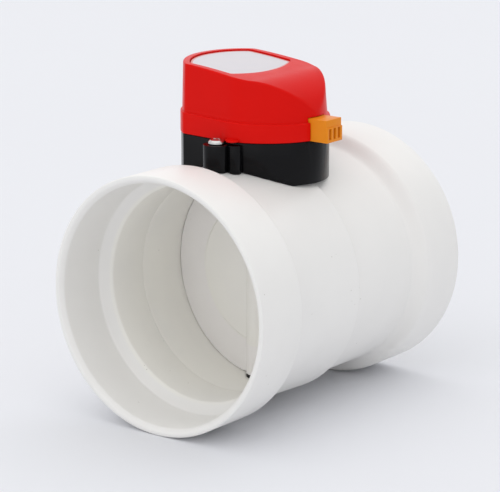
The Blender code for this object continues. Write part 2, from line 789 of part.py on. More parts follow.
def blade_shaft(empty):
    foot = BUSH_END_WALL - BOSS_HEIGHT + FIT_GAP
    shaft = centred(cylinder("blade_shaft", SHAFT_RADIUS, foot, SHAFT_TOP))
    groove_half = RING_GROOVE_WIDTH / 2
    clip_half = CLIP_THICKNESS / 2 + RUNNING_GAP
    clip_middle = CLIP_BOTTOM + CLIP_THICKNESS / 2
    flat_start = SPINDLE_SEAL_TOP
    cut(
        shaft,
        carry(ring_cutter("ring_groove", RING_GROOVE_RADIUS, RING_GROOVE_HEIGHT, groove_half), empty),
        carry(ring_cutter("clip_groove", CLIP_GROOVE_RADIUS, clip_middle, clip_half), empty),
        carry(
            box(
                "shaft_flat",
                (SHAFT_FLAT_OFFSET, -2 * SHAFT_RADIUS, flat_start),
                (2 * SHAFT_RADIUS, 2 * SHAFT_RADIUS, SHAFT_TOP + OVERSHOOT),
            ),
            empty,
        ),
    )
    for name, height in (("upper", BLADE_SCREW_HEIGHT), ("lower", -BLADE_SCREW_HEIGHT)):
        reach = BLADE_SCREW_REACH + FIT_GAP
        radius = BLADE_SCREW_RADIUS + FIT_GAP
        hole = cross_bar(name + "_shaft_hole", radius, -reach, 2 * SHAFT_RADIUS, height)
        cut(shaft, carry(hole, empty))
    as_part(shaft, steel())
    return carry(shaft, empty)


def ring_cutter(name, floor_radius, height, half):
    """Square ring that turns a groove into the shaft."""
    far = SHAFT_RADIUS + OVERSHOOT
    profile = [(far, half), (far, -half), (floor_radius, -half), (floor_radius, half)]
    ring = turned(name, profile, segments=24)
    ring.location = (0.0, 0.0, height)
    return ring


def shaft_ring(empty):
    """Rubber ring in the shaft's groove, inside the upper bush."""
    middle = (RING_GROOVE_RADIUS + SHAFT_RADIUS + RUNNING_GAP) / 2
    count = 8
    profile = [
        (
            middle + RING_CORD_RADIUS * math.cos(2 * math.pi * i / count),
            -RING_CORD_RADIUS * math.sin(2 * math.pi * i / count),
        )
        for i in range(count)
    ]
    ring = turned("shaft_o_ring", profile, segments=24)
    ring.location = (0.0, 0.0, RING_GROOVE_HEIGHT)
    as_part(ring, rubber())
    return carry(ring, empty)


def blade_screw(name, height, empty):
    """Pan-head screw through the hub into the shaft."""
    seat = hub_flat() + FIT_GAP
    top = seat + BLADE_SCREW_HEAD_HEIGHT
    screw = cross_bar(name, BLADE_SCREW_HEAD_RADIUS, seat, top, height)
    shank = cross_bar(name + "_shank", BLADE_SCREW_RADIUS, -BLADE_SCREW_REACH, seat + FIT_GAP, height)
    join(screw, carry(shank, empty))
    recess = BLADE_SCREW_HEAD_HEIGHT / 2
    for turn in (0.0, math.pi / 2):
        slot = box(name + "_slot", (-0.0018, -recess, -0.0004), (0.0018, recess, 0.0004))
        slot.rotation_euler = (0.0, turn, 0.0)
        slot.location = (0.0, top, height)
        cut(screw, carry(slot, empty))
    as_part(screw, steel())
    return carry(screw, empty)


def upright_screw(name, radius, head_radius, head_height, tip, seat, x, y):
    """Pan-head screw with a crossed recess, standing in a hole at (x, y)."""
    dome = head_radius * 0.35
    profile = [
        (0.0, seat + head_height),
        (head_radius - dome, seat + head_height),
        (head_radius, seat + head_height - dome),
        (head_radius, seat),
        (radius, seat),
        (radius, tip + radius * 0.8),
        (radius * 0.4, tip),
        (0.0, tip),
    ]
    screw = turned(name, profile, closed=False, segments=16)
    screw.location = (x, y, 0.0)
    half = head_radius * 0.55
    arm = head_radius * 0.12
    for turn in (0.0, math.pi / 2):
        slot = box(name + "_slot", (-half, -arm, -head_height * 0.5), (half, arm, head_height * 0.5))
        slot.rotation_euler = (0.0, 0.0, turn)
        slot.location = (x, y, seat + head_height)
        cut(screw, slot)
    return as_part(screw, steel())


def ear_screw(name, side):
    y = SPINDLE_Y + side * EAR_OFFSET
    seat = EAR_TOP + FIT_GAP
    return upright_screw(
        name, EAR_SCREW_RADIUS, EAR_SCREW_HEAD_RADIUS, EAR_SCREW_HEAD_HEIGHT, EAR_SCREW_TIP, seat, 0.0, y
    )


def small_screw(name, x, side_offset, seat):
    y = SPINDLE_Y + side_offset
    head = SMALL_SCREW_HEAD_RADIUS
    height = SMALL_SCREW_HEAD_HEIGHT
    return upright_screw(name, SMALL_SCREW_RADIUS, head, height, SMALL_SCREW_FOOT, seat, x, y)


def spindle_seal():
    """Flat seal ring between the duct's boss and the actuator's floor."""
    loops = [circle(BOSS_RADIUS - FIT_GAP), circle(SHAFT_RADIUS + 2 * FIT_GAP)]
    return as_part(outline_solid("spindle_seal", loops, SPINDLE_SEAL_BOTTOM, SPINDLE_SEAL_TOP), rubber())


def saddle_cutter():
    """The duct's outside, grown by the fit gap, that shapes the base's underside."""
    gap = FIT_GAP
    far = BODY_LENGTH
    profile = [
        (0.0, far),
        (OUTLET_WAIST_RADIUS + gap, far),
        (OUTLET_WAIST_RADIUS + gap, JOINT_Y + gap),
        (JOINT_RADIUS + gap, JOINT_Y + gap),
        (INLET_WAIST_RADIUS + gap, INLET_BELL_LENGTH + OUTER_SHOULDER_LENGTH),
        (INLET_WAIST_RADIUS + gap, 0.0),
        (0.0, 0.0),
    ]
    return along_duct(turned("saddle_cutter", profile, closed=False))


def base_cavity():
    """Room inside the base: the inner outline above the curved floor."""
    outline = housing_outline(BASE_INSET + BASE_WALL + TONGUE_WALL)
    room = outline_solid("base_cavity", [outline], BASE_BOTTOM, BASE_RIM + 2 * TONGUE_RISE)
    floor = cylinder("curved_floor", FLOOR_RADIUS, 0.0, BODY_LENGTH, y=0.0, segments=BODY_SEGMENTS)
    floor.rotation_euler = (math.radians(-90), 0.0, 0.0)
    floor.location = (0.0, SPINDLE_Y, 0.0)
    return cut(room, floor)


def base_pillars():
    places = [(MOTOR_X, MOTOR_EAR_OFFSET), (MOTOR_X, -MOTOR_EAR_OFFSET)]
    places += [(BOARD_POST_X, BOARD_POST_OFFSET), (BOARD_POST_X, -BOARD_POST_OFFSET)]
    return places


def actuator_base():
    base = outline_solid("actuator_base", [housing_outline(BASE_INSET)], BASE_BOTTOM, BASE_RIM)
    outline = housing_outline(BASE_INSET + BASE_WALL)
    tongue = outline_solid("base_tongue", [outline], SEAM_HEIGHT - BASE_WALL, BASE_RIM + TONGUE_RISE)
    join(base, tongue)
    for name, side in (("front", -1), ("rear", 1)):
        y = SPINDLE_Y + side * EAR_OFFSET
        join(base, cylinder(name + "_ear", EAR_RADIUS, BASE_BOTTOM, EAR_TOP, y=y))
        y = SPINDLE_Y + side * EAR_RIB_OFFSET
        join(base, cylinder(name + "_rib", EAR_RIB_RADIUS, BASE_BOTTOM, EAR_TOP, x=EAR_RIB_X, y=y))
    cut(base, base_cavity(), saddle_cutter())
    floor_at_idler = FLOOR_RADIUS * math.cos(math.asin(IDLER_X / FLOOR_RADIUS))
    foot = floor_at_idler - OVERSHOOT
    join(base, cylinder("idler_boss", IDLER_BOSS_RADIUS, foot, IDLER_BOTTOM - FIT_GAP, x=IDLER_X))
    foot = AXLE_FOOT - FIT_GAP
    cut(base, cylinder("axle_hole", AXLE_RADIUS + FIT_GAP, foot, GEAR_PLATE_BOTTOM, x=IDLER_X))
    for index, (x, offset) in enumerate(base_pillars()):
        foot = FLOOR_RADIUS * math.cos(math.asin(x / FLOOR_RADIUS)) - OVERSHOOT
        y = SPINDLE_Y + offset
        join(base, cylinder(f"pillar_{index}", PILLAR_RADIUS, foot, PILLAR_TOP, x=x, y=y, segments=24))
        hole = SMALL_SCREW_RADIUS + FIT_GAP
        foot_hole = SMALL_SCREW_FOOT - FIT_GAP
        cut(base, cylinder(f"pillar_hole_{index}", hole, foot_hole, GEAR_PLATE_TOP, x=x, y=y, segments=16))
    cut(base, cylinder("shaft_passage", SHAFT_RADIUS + 2 * FIT_GAP, BASE_BOTTOM, BASE_RIM))
    cut(base, cylinder("boss_pocket", BOSS_RADIUS + FIT_GAP, BASE_BOTTOM, BOSS_POCKET_TOP))
    for name, side in (("front", -1), ("rear", 1)):
        y = SPINDLE_Y + side * EAR_OFFSET
        cut(
            base,
            cylinder(name + "_post_pocket", POST_RADIUS + FIT_GAP, BASE_BOTTOM, POST_TOP + FIT_GAP, y=y),
            cylinder(name + "_ear_hole", EAR_SCREW_RADIUS + FIT_GAP, POST_TOP, EAR_TOP + OVERSHOOT, y=y),
        )
    cut(base, terminal_room("base_terminal_room", TERMINAL_BOTTOM - FIT_GAP))
    return as_part(base, black_plastic())


def terminal_room(name, bottom):
    """Space for the terminal block through the nose of the housing."""
    half = TERMINAL_WIDTH / 2 + FIT_GAP
    low = (TERMINAL_BACK_X - FIT_GAP, SPINDLE_Y - half, bottom)
    high = (TERMINAL_FACE_X, SPINDLE_Y + half, TERMINAL_TOP + FIT_GAP)
    return box(name, low, high)


def ledge_side(name):
    """Side view of the skirt, whose top edge falls slightly towards the nose."""
    end = END_CORNER - END_HALF_WIDTH
    tip = NOSE_CENTRE + NOSE_LENGTH + OVERSHOOT
    profile = [
        (end, SEAM_HEIGHT - OVERSHOOT),
        (tip, SEAM_HEIGHT - OVERSHOOT),
        (tip, LEDGE_TOP_NOSE),
        (END_CORNER, LEDGE_TOP_END),
        (end, LEDGE_TOP_END),
    ]
    return side_solid(name, profile, NOSE_LENGTH + OVERSHOOT)


def actuator_cover():
    roof_top = ROOF_SHOULDER_HEIGHT + ROOF_RISE + OVERSHOOT
    outline = housing_outline(UPPER_INSET)
    cover = outline_solid("actuator_cover", [outline], SEAM_HEIGHT, roof_top, COVER_DRAFT)
    keep_common(cover, roof_side("roof_outside", SEAM_HEIGHT - OVERSHOOT))
    skirt = outline_solid("skirt", [housing_outline(0.0)], SEAM_HEIGHT, LEDGE_TOP_END + OVERSHOOT)
    keep_common(skirt, ledge_side("ledge"))
    join(cover, skirt)
    low = SEAM_HEIGHT - OVERSHOOT
    outline = housing_outline(UPPER_INSET + COVER_WALL)
    inside = outline_solid("cover_inside", [outline], low, roof_top, COVER_DRAFT)
    keep_common(inside, roof_side("roof_inside", SEAM_HEIGHT - 2 * OVERSHOOT, COVER_WALL, COVER_WALL))
    mouth_top = BASE_RIM + TONGUE_RISE + FIT_GAP
    mouth = outline_solid("cover_mouth", [housing_outline(COVER_WALL)], low, mouth_top)
    cut(cover, inside, mouth)
    for name, side in (("front", -1), ("rear", 1)):
        y = SPINDLE_Y + side * EAR_OFFSET
        reach = EAR_SCREW_HEAD_RADIUS + FIT_GAP
        cut(cover, cylinder(name + "_head_notch", reach, low, NOTCH_TOP, y=y))
    cut(cover, label_solid("label_recess", FIT_GAP, LABEL_SINK + LABEL_THICKNESS + FIT_GAP, -OVERSHOOT))
    cut(cover, terminal_room("cover_terminal_room", low))
    join(cover, cover_lug())
    return as_part(cover, red_plastic())


def cover_lug():
    """Level half-round tab at the skirt's foot, beside the front ear's screw."""
    flank = SPINDLE_Y - half_width(LUG_X)
    bottom = SEAM_HEIGHT + RUNNING_GAP
    lug = cylinder("cover_lug", LUG_RADIUS, bottom, bottom + LUG_THICKNESS, x=LUG_X, y=flank)
    low = (LUG_X - 2 * LUG_RADIUS, flank + COVER_WALL / 2, SEAM_HEIGHT - OVERSHOOT)
    high = (LUG_X + 2 * LUG_RADIUS, flank + 2 * LUG_RADIUS, SEAM_HEIGHT + OVERSHOOT)
    return cut(lug, box("lug_inside", low, high))


def label_outline(grow):
    """Two straight sides along the actuator, joined by arcs that bow outwards."""
    half = LABEL_HALF_WIDTH + grow
    near = bowed_side(LABEL_CORNER_NEAR, half, -LABEL_BULGE_NEAR - grow)
    far = bowed_side(LABEL_CORNER_FAR, half, LABEL_BULGE_FAR + grow)
    return far + near[::-1]


def bowed_side(x, half, bulge):
    """Arc through (x, -half), (x + bulge, 0) and (x, +half) about the shaft's line."""
    radius = (half**2 + bulge**2) / (2 * abs(bulge))
    centre = x + bulge - math.copysign(radius, bulge)
    swing = math.asin(half / radius)
    steps = 12
    points = []
    for i in range(steps + 1):
        angle = -swing + 2 * swing * i / steps
        across = math.copysign(radius * math.cos(angle), bulge)
        points.append((centre + across, SPINDLE_Y + radius * math.sin(angle)))
    return points


def label_solid(name, grow, depth, rise):
    """Label outline cut out of a layer that follows the roof, from depth up to rise below it."""
    layer = outline_solid(name, [label_outline(grow)], SEAM_HEIGHT, ROOF_SHOULDER_HEIGHT + 2 * ROOF_RISE)
    keep_common(layer, roof_side(name + "_top", SEAM_HEIGHT - OVERSHOOT, rise))
    return cut(layer, roof_side(name + "_under", SEAM_HEIGHT - 2 * OVERSHOOT, depth))


def label_plate():
    plate = label_solid("label_plate", -LABEL_BORDER, LABEL_SINK + LABEL_THICKNESS, LABEL_SINK)
    return as_part(plate, label_white())


def involute(angle):
    return math.tan(angle) - angle


def gear_outline(teeth, module, phase, addendum=1.0):
    """Involute gear outline about the origin, with a tooth centred at the phase angle."""
    pitch = teeth * module / 2
    base = pitch * math.cos(PRESSURE_ANGLE)
    root = pitch - 1.25 * module
    tip = pitch + addendum * module
    half_tooth = math.pi / (2 * teeth) - BACKLASH_SHARE * module / (2 * pitch)
    start = max(base, root)
    levels = [start + (tip - start) * i / 2 for i in range(3)]
    flank = []
    for radius in levels:
        angle = math.acos(min(1.0, base / radius))
        flank.append((radius, half_tooth + involute(PRESSURE_ANGLE) - involute(angle)))
    if root < base:
        flank.insert(0, (root, flank[0][1]))
    points = []
    for tooth in range(teeth):
        middle = phase + 2 * math.pi * tooth / teeth
        for radius, swing in flank:
            points.append((radius * math.cos(middle - swing), radius * math.sin(middle - swing)))
        for radius, swing in flank[::-1]:
            points.append((radius * math.cos(middle + swing), radius * math.sin(middle + swing)))
    return points


def d_outline(radius, flat):
    """Circle with a flat on its +X side, for the shaft's driven end."""
    start = math.acos(flat / radius)
    steps = 20
    return arc(0.0, 0.0, radius, start, 2 * math.pi - start, steps)


def shaft_hole_outline():
    return d_outline(SHAFT_RADIUS + FIT_GAP, SHAFT_FLAT_OFFSET + FIT_GAP)


def output_gear(empty):
    """Gear on the blade's shaft; a gap between teeth faces the idler when the blade is shut."""
    phase = math.pi + BLADE_CLOSED_ANGLE + math.pi / OUTPUT_TEETH
    loops = [gear_outline(OUTPUT_TEETH, OUTPUT_MODULE, phase), shaft_hole_outline()]
    for i in range(OUTPUT_WINDOW_COUNT):
        turn = 2 * math.pi * i / OUTPUT_WINDOW_COUNT
        x = OUTPUT_WINDOW_CIRCLE * math.cos(turn)
        y = OUTPUT_WINDOW_CIRCLE * math.sin(turn)
        loops.append(circle(OUTPUT_WINDOW_RADIUS, x, y, 16))
    top = OUTPUT_GEAR_BOTTOM + OUTPUT_GEAR_THICKNESS
    gear = outline_solid("output_gear", loops, OUTPUT_GEAR_BOTTOM, top)
    hub_loops = [circle(OUTPUT_HUB_RADIUS, 0.0, 0.0, 24), shaft_hole_outline()]
    hub = outline_solid("output_gear_hub", hub_loops, top - FIT_GAP, GEAR_PLATE_BOTTOM - 2 * FIT_GAP)
    join(gear, carry(hub, empty))
    as_part(gear, gear_plastic())
    return carry(gear, empty)


def limit_cam(empty):
    """Disc with one lobe that reaches a switch at each end of the blade's travel."""
    lobe = SWITCH_ANGLE + BLADE_CLOSED_ANGLE
    outline = arc(0.0, 0.0, CAM_LOBE_RADIUS, lobe - CAM_LOBE_HALF_ANGLE, lobe + CAM_LOBE_HALF_ANGLE, 8)
    start = lobe + 2 * CAM_LOBE_HALF_ANGLE
    end = lobe - 2 * CAM_LOBE_HALF_ANGLE + 2 * math.pi
    outline += arc(0.0, 0.0, CAM_RADIUS, start, end, 26)
    loops = [outline, shaft_hole_outline()]
    cam = outline_solid("limit_cam", loops, CAM_BOTTOM, CAM_BOTTOM + CAM_THICKNESS)
    as_part(cam, gear_plastic())
    return carry(cam, empty)


def shaft_clip(empty):
    """Snap ring with an open side, in the groove at the top of the shaft."""
    inner = CLIP_GROOVE_RADIUS + RUNNING_GAP
    loops = [circle(CLIP_RADIUS, 0.0, 0.0, 24), circle(inner, 0.0, 0.0, 24)]
    clip = outline_solid("shaft_clip", loops, CLIP_BOTTOM, CLIP_BOTTOM + CLIP_THICKNESS)
    half = CLIP_OPENING / 2
    low = (-half, 0.0, CLIP_BOTTOM - OVERSHOOT)
    mouth = box("clip_mouth", low, (half, 2 * CLIP_RADIUS, SHAFT_TOP + OVERSHOOT))
    cut(clip, carry(mouth, empty))
    as_part(clip, steel())
    return carry(clip, empty)


def axis_empty(name, x):
    empty = bpy.data.objects.new(name, None)
    empty.location = (x, SPINDLE_Y, 0.0)
    PARTS.objects.link(empty)
    return empty


def idler_gear():
    """Large wheel and small pinion moulded in one piece; a small tooth faces the output gear."""
    empty = axis_empty("idler_axis", IDLER_X)
    hole = circle(AXLE_RADIUS + RUNNING_GAP, 0.0, 0.0, 16)
    small_loops = [gear_outline(IDLER_SMALL_TEETH, OUTPUT_MODULE, 0.0), hole]
    large_loops = [gear_outline(IDLER_LARGE_TEETH, INPUT_MODULE, 0.0), hole]
    small = outline_solid("idler_gear", small_loops, IDLER_BOTTOM, IDLER_STEP_HEIGHT + FIT_GAP)
    large = outline_solid("idler_large_wheel", large_loops, IDLER_STEP_HEIGHT, IDLER_TOP)
    join(small, carry(large, empty))
    as_part(small, gear_plastic())
    return carry(small, empty)


def idler_axle():
    top = GEAR_PLATE_TOP - RUNNING_GAP
    return as_part(cylinder("idler_axle", AXLE_RADIUS, AXLE_FOOT, top, x=IDLER_X, segments=24), steel())


def motor_pinion(empty):
    phase = math.pi + math.pi / PINION_TEETH
    hole = circle(MOTOR_SHAFT_RADIUS + RUNNING_GAP, 0.0, 0.0, 16)
    loops = [gear_outline(PINION_TEETH, INPUT_MODULE, phase), hole]
    pinion = outline_solid("motor_pinion", loops, PINION_BOTTOM, PINION_TOP)
    as_part(pinion, brass())
    return carry(pinion, empty)


def motor_shaft(empty):
    top = MOTOR_BOTTOM + MOTOR_SHAFT_INSERT
    shaft = centred(cylinder("motor_shaft", MOTOR_SHAFT_RADIUS, PINION_BOTTOM - FIT_GAP, top, segments=20))
    as_part(shaft, steel())
    return carry(shaft, empty)


def gear_plate():
    """Steel plate that carries the motor and steadies the idler's axle and the shaft."""
    loops = [
        housing_outline(GEAR_PLATE_INSET),
        circle(SHAFT_RADIUS + RUNNING_GAP),
        circle(AXLE_RADIUS + FIT_GAP, IDLER_X, SPINDLE_Y, 16),
        circle(MOTOR_BOSS_RADIUS + FIT_GAP, PINION_X, SPINDLE_Y),
    ]
    for x, offset in base_pillars():
        loops.append(circle(SMALL_SCREW_RADIUS + FIT_GAP, x, SPINDLE_Y + offset, 16))
    plate = outline_solid("gear_plate", loops, GEAR_PLATE_BOTTOM, GEAR_PLATE_TOP)
    reach = NOSE_LENGTH + NOSE_CENTRE
    low = (GEAR_PLATE_END_X, SPINDLE_Y - NOSE_LENGTH, GEAR_PLATE_BOTTOM - OVERSHOOT)
    cut(plate, box("plate_end", low, (reach, SPINDLE_Y + NOSE_LENGTH, GEAR_PLATE_TOP + OVERSHOOT)))
    return as_part(plate, steel())


def motor_ear_outline():
    """Strip across the motor's foot, with a round end at each ear."""
    rear = arc(MOTOR_X, SPINDLE_Y + MOTOR_EAR_OFFSET, MOTOR_EAR_RADIUS, 0.0, math.pi, 12)
    front = arc(MOTOR_X, SPINDLE_Y - MOTOR_EAR_OFFSET, MOTOR_EAR_RADIUS, math.pi, 2 * math.pi, 12)
    return rear + front


def drive_motor():
    """Round gear motor with two ears and its shaft set to one side."""
    drum_bottom = MOTOR_BOTTOM + RUNNING_GAP
    motor = cylinder("drive_motor", MOTOR_RADIUS, drum_bottom, MOTOR_BOTTOM + MOTOR_LENGTH, x=MOTOR_X)
    ear_top = MOTOR_BOTTOM + MOTOR_EAR_THICKNESS
    join(motor, outline_solid("ear_strip", [motor_ear_outline()], MOTOR_BOTTOM, ear_top))
    boss_bottom = GEAR_PLATE_BOTTOM + FIT_GAP
    boss_top = ear_top - FIT_GAP
    join(motor, cylinder("motor_boss", MOTOR_BOSS_RADIUS, boss_bottom, boss_top, x=PINION_X))
    for name, side in (("front", -1), ("rear", 1)):
        y = SPINDLE_Y + side * MOTOR_EAR_OFFSET
        hole = SMALL_SCREW_RADIUS + FIT_GAP
        top = ear_top + OVERSHOOT
        cut(motor, cylinder(name + "_ear_way", hole, GEAR_PLATE_BOTTOM, top, x=MOTOR_X, y=y, segments=16))
    way = MOTOR_SHAFT_RADIUS + RUNNING_GAP
    top = MOTOR_BOTTOM + MOTOR_SHAFT_INSERT + FIT_GAP
    low = GEAR_PLATE_BOTTOM - OVERSHOOT
    cut(motor, cylinder("motor_shaft_way", way, low, top, x=PINION_X, segments=20))
    return as_part(motor, steel())


def motor_lead_cap():
    """Plastic cap on the motor's side where its leads come out."""
    low_x = MOTOR_X
    high_x = MOTOR_X + MOTOR_RADIUS + LEAD_CAP_REACH
    half = LEAD_CAP_WIDTH / 2
    low = (low_x, SPINDLE_Y - half, LEAD_CAP_BOTTOM)
    cap = box("motor_lead_cap", low, (high_x, SPINDLE_Y + half, LEAD_CAP_BOTTOM + LEAD_CAP_HEIGHT))
    room = MOTOR_RADIUS + FIT_GAP
    cut(cap, cylinder("cap_room", room, MOTOR_BOTTOM, MOTOR_BOTTOM + 2 * MOTOR_LENGTH, x=MOTOR_X))
    return as_part(cap, white_pvc())


def curve_value(corners, t):
    """Value at t, from 0 to 1, of the smooth curve between the middle two of four values."""
    p, q, r, s = corners
    bend = 2 * p - 5 * q + 4 * r - s
    swing = 3 * q - p - 3 * r + s
    return 0.5 * (2 * q + (r - p) * t + bend * t**2 + swing * t**3)


def smooth_route(points, steps):
    """Points along a smooth curve through the given ones."""
    padded = [points[0]] + points + [points[-1]]
    route = []
    for i in range(1, len(padded) - 2):
        a, b, c, d = padded[i - 1 : i + 3]
        for step in range(steps):
            t = step / steps
            route.append(tuple(curve_value(corners, t) for corners in zip(a, b, c, d)))
    route.append(points[-1])
    return route


def motor_lead(name, side):
    """Insulated wire from the motor's cap to the board."""
    cap_face = MOTOR_X + MOTOR_RADIUS + LEAD_CAP_REACH + FIT_GAP
    height = LEAD_CAP_BOTTOM + LEAD_CAP_HEIGHT / 2
    y = SPINDLE_Y + side * LEAD_SPREAD
    end_x = BOARD_START_X + 0.0036
    points = [
        (cap_face, y, height),
        (cap_face + 0.0020, y, height),
        (0.0, y + side * 0.0004, height + 0.0010),
        (end_x - 0.0020, y + side * 0.0010, height - 0.0002),
        (end_x, y + side * 0.0012, BOARD_TOP + 0.0020),
        (end_x, y + side * 0.0012, BOARD_TOP + FIT_GAP),
    ]
    route = smooth_route(points, 4)
    curve = bpy.data.curves.new(name, "CURVE")
    curve.dimensions = "3D"
    curve.bevel_depth = LEAD_RADIUS
    curve.bevel_resolution = 2
    curve.use_fill_caps = True
    curve.render_resolution_u = 0
    spline = curve.splines.new("POLY")
    spline.points.add(len(route) - 1)
    for point, place_on_route in zip(spline.points, route):
        point.co = (*place_on_route, 1.0)
    guide = bpy.data.objects.new(name + "_route", curve)
    bpy.context.scene.collection.objects.link(guide)
    return as_part(meshed(guide, name), lead_red())


def limit_switch(name, side):
    """Snap switch lying on the plate, with its button towards the cam."""
    turn = side * SWITCH_ANGLE
    button_face = CAM_LOBE_RADIUS + FIT_GAP
    start = button_face + BUTTON_LENGTH
    bottom = GEAR_PLATE_TOP + FIT_GAP
    switch = box(name, (0.0, -SWITCH_LENGTH / 2, 0.0), (SWITCH_DEPTH, SWITCH_LENGTH / 2, SWITCH_HEIGHT))
    radius = start + SWITCH_DEPTH / 2
    middle = bottom + SWITCH_HEIGHT / 2
    switch.location = (radius * math.cos(turn), SPINDLE_Y + radius * math.sin(turn), middle)
    switch.rotation_euler = (0.0, 0.0, turn)
    half = BUTTON_WIDTH / 2
    button = box(name + "_button", (0.0, -half, 0.0), (2 * BUTTON_LENGTH, half, BUTTON_HEIGHT))
    radius = button_face + BUTTON_LENGTH
    middle = CAM_BOTTOM + CAM_THICKNESS / 2
    button.location = (radius * math.cos(turn), SPINDLE_Y + radius * math.sin(turn), middle)
    button.rotation_euler = (0.0, 0.0, turn)
    join(switch, button)
    return as_part(switch, black_plastic())


def circuit_board():
    radius = BOARD_RADIUS
    start = math.acos((BOARD_START_X - NOSE_CENTRE) / radius)
    outline = arc(NOSE_CENTRE, SPINDLE_Y, radius, -start, start, 24)
    loops = [outline]
    for side in (-1, 1):
        y = SPINDLE_Y + side * BOARD_POST_OFFSET
        loops.append(circle(SMALL_SCREW_RADIUS + FIT_GAP, BOARD_POST_X, y, 16))
    return as_part(outline_solid("circuit_board", loops, BOARD_BOTTOM, BOARD_TOP), board_green())


def board_spacer(name, side):
    y = SPINDLE_Y + side * BOARD_POST_OFFSET
    hole = circle(SMALL_SCREW_RADIUS + FIT_GAP, BOARD_POST_X, y, 16)
    loops = [circle(SPACER_RADIUS, BOARD_POST_X, y), hole]
    return as_part(outline_solid(name, loops, GEAR_PLATE_TOP + FIT_GAP, BOARD_BOTTOM - FIT_GAP), brass())


def capacitor():
    bottom = BOARD_TOP + FIT_GAP
    y = SPINDLE_Y + CAPACITOR_OFFSET
    top = bottom + CAPACITOR_HEIGHT
    can = cylinder("capacitor", CAPACITOR_RADIUS, bottom, top, x=CAPACITOR_X, y=y)
    return as_part(can, black_plastic())


def relay():
    length, width, height = RELAY_SIZE
    bottom = BOARD_TOP + FIT_GAP
    y = SPINDLE_Y + RELAY_OFFSET
    low = (RELAY_X - length / 2, y - width / 2, bottom)
    high = (RELAY_X + length / 2, y + width / 2, bottom + height)
    return as_part(box("relay", low, high), black_plastic())


def pole_offset(index):
    return (index - (TERMINAL_POLES - 1) / 2) * TERMINAL_PITCH


def terminal_block():
    half = TERMINAL_WIDTH / 2
    low = (TERMINAL_BACK_X, SPINDLE_Y - half, TERMINAL_BOTTOM)
    block = box("terminal_block", low, (TERMINAL_FACE_X, SPINDLE_Y + half, TERMINAL_TOP))
    face = TERMINAL_FACE_X
    step_low = (face - TERMINAL_STEP_BACK, SPINDLE_Y - 2 * half, TERMINAL_STEP_HEIGHT)
    step_high = (face + OVERSHOOT, SPINDLE_Y + 2 * half, TERMINAL_TOP + OVERSHOOT)
    cut(block, box("face_step", step_low, step_high))
    for index in range(TERMINAL_POLES):
        y = SPINDLE_Y + pole_offset(index)
        low = (face - TERMINAL_SLOT_DEPTH, y - TERMINAL_SLOT_WIDTH / 2, TERMINAL_SLOT_BOTTOM)
        high = (face + OVERSHOOT, y + TERMINAL_SLOT_WIDTH / 2, TERMINAL_SLOT_TOP)
        cut(block, box(f"wire_slot_{index}", low, high))
    return as_part(block, orange_plastic())


def terminal_clamp(index):
    """Metal jaw at the back of one wire slot."""
    y = SPINDLE_Y + pole_offset(index)
    start = TERMINAL_FACE_X - TERMINAL_SLOT_DEPTH + FIT_GAP
    half = TERMINAL_SLOT_WIDTH / 2 - FIT_GAP
    low = (start, y - half, TERMINAL_SLOT_BOTTOM + FIT_GAP)
    high = (start + CLAMP_LENGTH, y + half, TERMINAL_SLOT_TOP - FIT_GAP)
    return as_part(box(f"terminal_clamp_{index + 1}", low, high), brass())


def build_duct():
    inlet_body()
    outlet_body()
    upper_bush()
    lower_bush()
    spindle_seal()


def build_blade_group():
    empty = spindle_empty()
    blade(empty)
    blade_seal("blade_seal_right", 1, empty)
    blade_seal("blade_seal_left", -1, empty)
    blade_shaft(empty)
    shaft_ring(empty)
    blade_screw("blade_screw_upper", BLADE_SCREW_HEIGHT, empty)
    blade_screw("blade_screw_lower", -BLADE_SCREW_HEIGHT, empty)
    output_gear(empty)
    limit_cam(empty)
    shaft_clip(empty)


def build_housing():
    actuator_base()
    actuator_cover()
    label_plate()
    ear_screw("ear_screw_front", -1)
    ear_screw("ear_screw_rear", 1)


def build_drive():
    idler_gear()
    idler_axle()
    gear_plate()
    drive_motor()
    motor_axis = axis_empty("motor_axis", PINION_X)
    motor_pinion(motor_axis)
    motor_shaft(motor_axis)
    motor_lead_cap()
    motor_lead("motor_lead_front", -1)
    motor_lead("motor_lead_rear", 1)
    ear_seat = MOTOR_BOTTOM + MOTOR_EAR_THICKNESS + FIT_GAP
    small_screw("motor_screw_front", MOTOR_X, -MOTOR_EAR_OFFSET, ear_seat)
    small_screw("motor_screw_rear", MOTOR_X, MOTOR_EAR_OFFSET, ear_seat)


def build_electrics():
    limit_switch("limit_switch_shut", 1)
    limit_switch("limit_switch_open", -1)
    circuit_board()
    for name, side in (("front", -1), ("rear", 1)):
        board_spacer("board_spacer_" + name, side)
        small_screw("board_screw_" + name, BOARD_POST_X, side * BOARD_POST_OFFSET, BOARD_TOP + FIT_GAP)
    capacitor()
    relay()
    terminal_block()
    for index in range(TERMINAL_POLES):
        terminal_clamp(index)


build_duct()
build_blade_group()
build_housing()
build_drive()
build_electrics()
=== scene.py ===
"""Finished look of a motorized duct damper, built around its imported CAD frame. Metres, +Z up."""

import json
import math

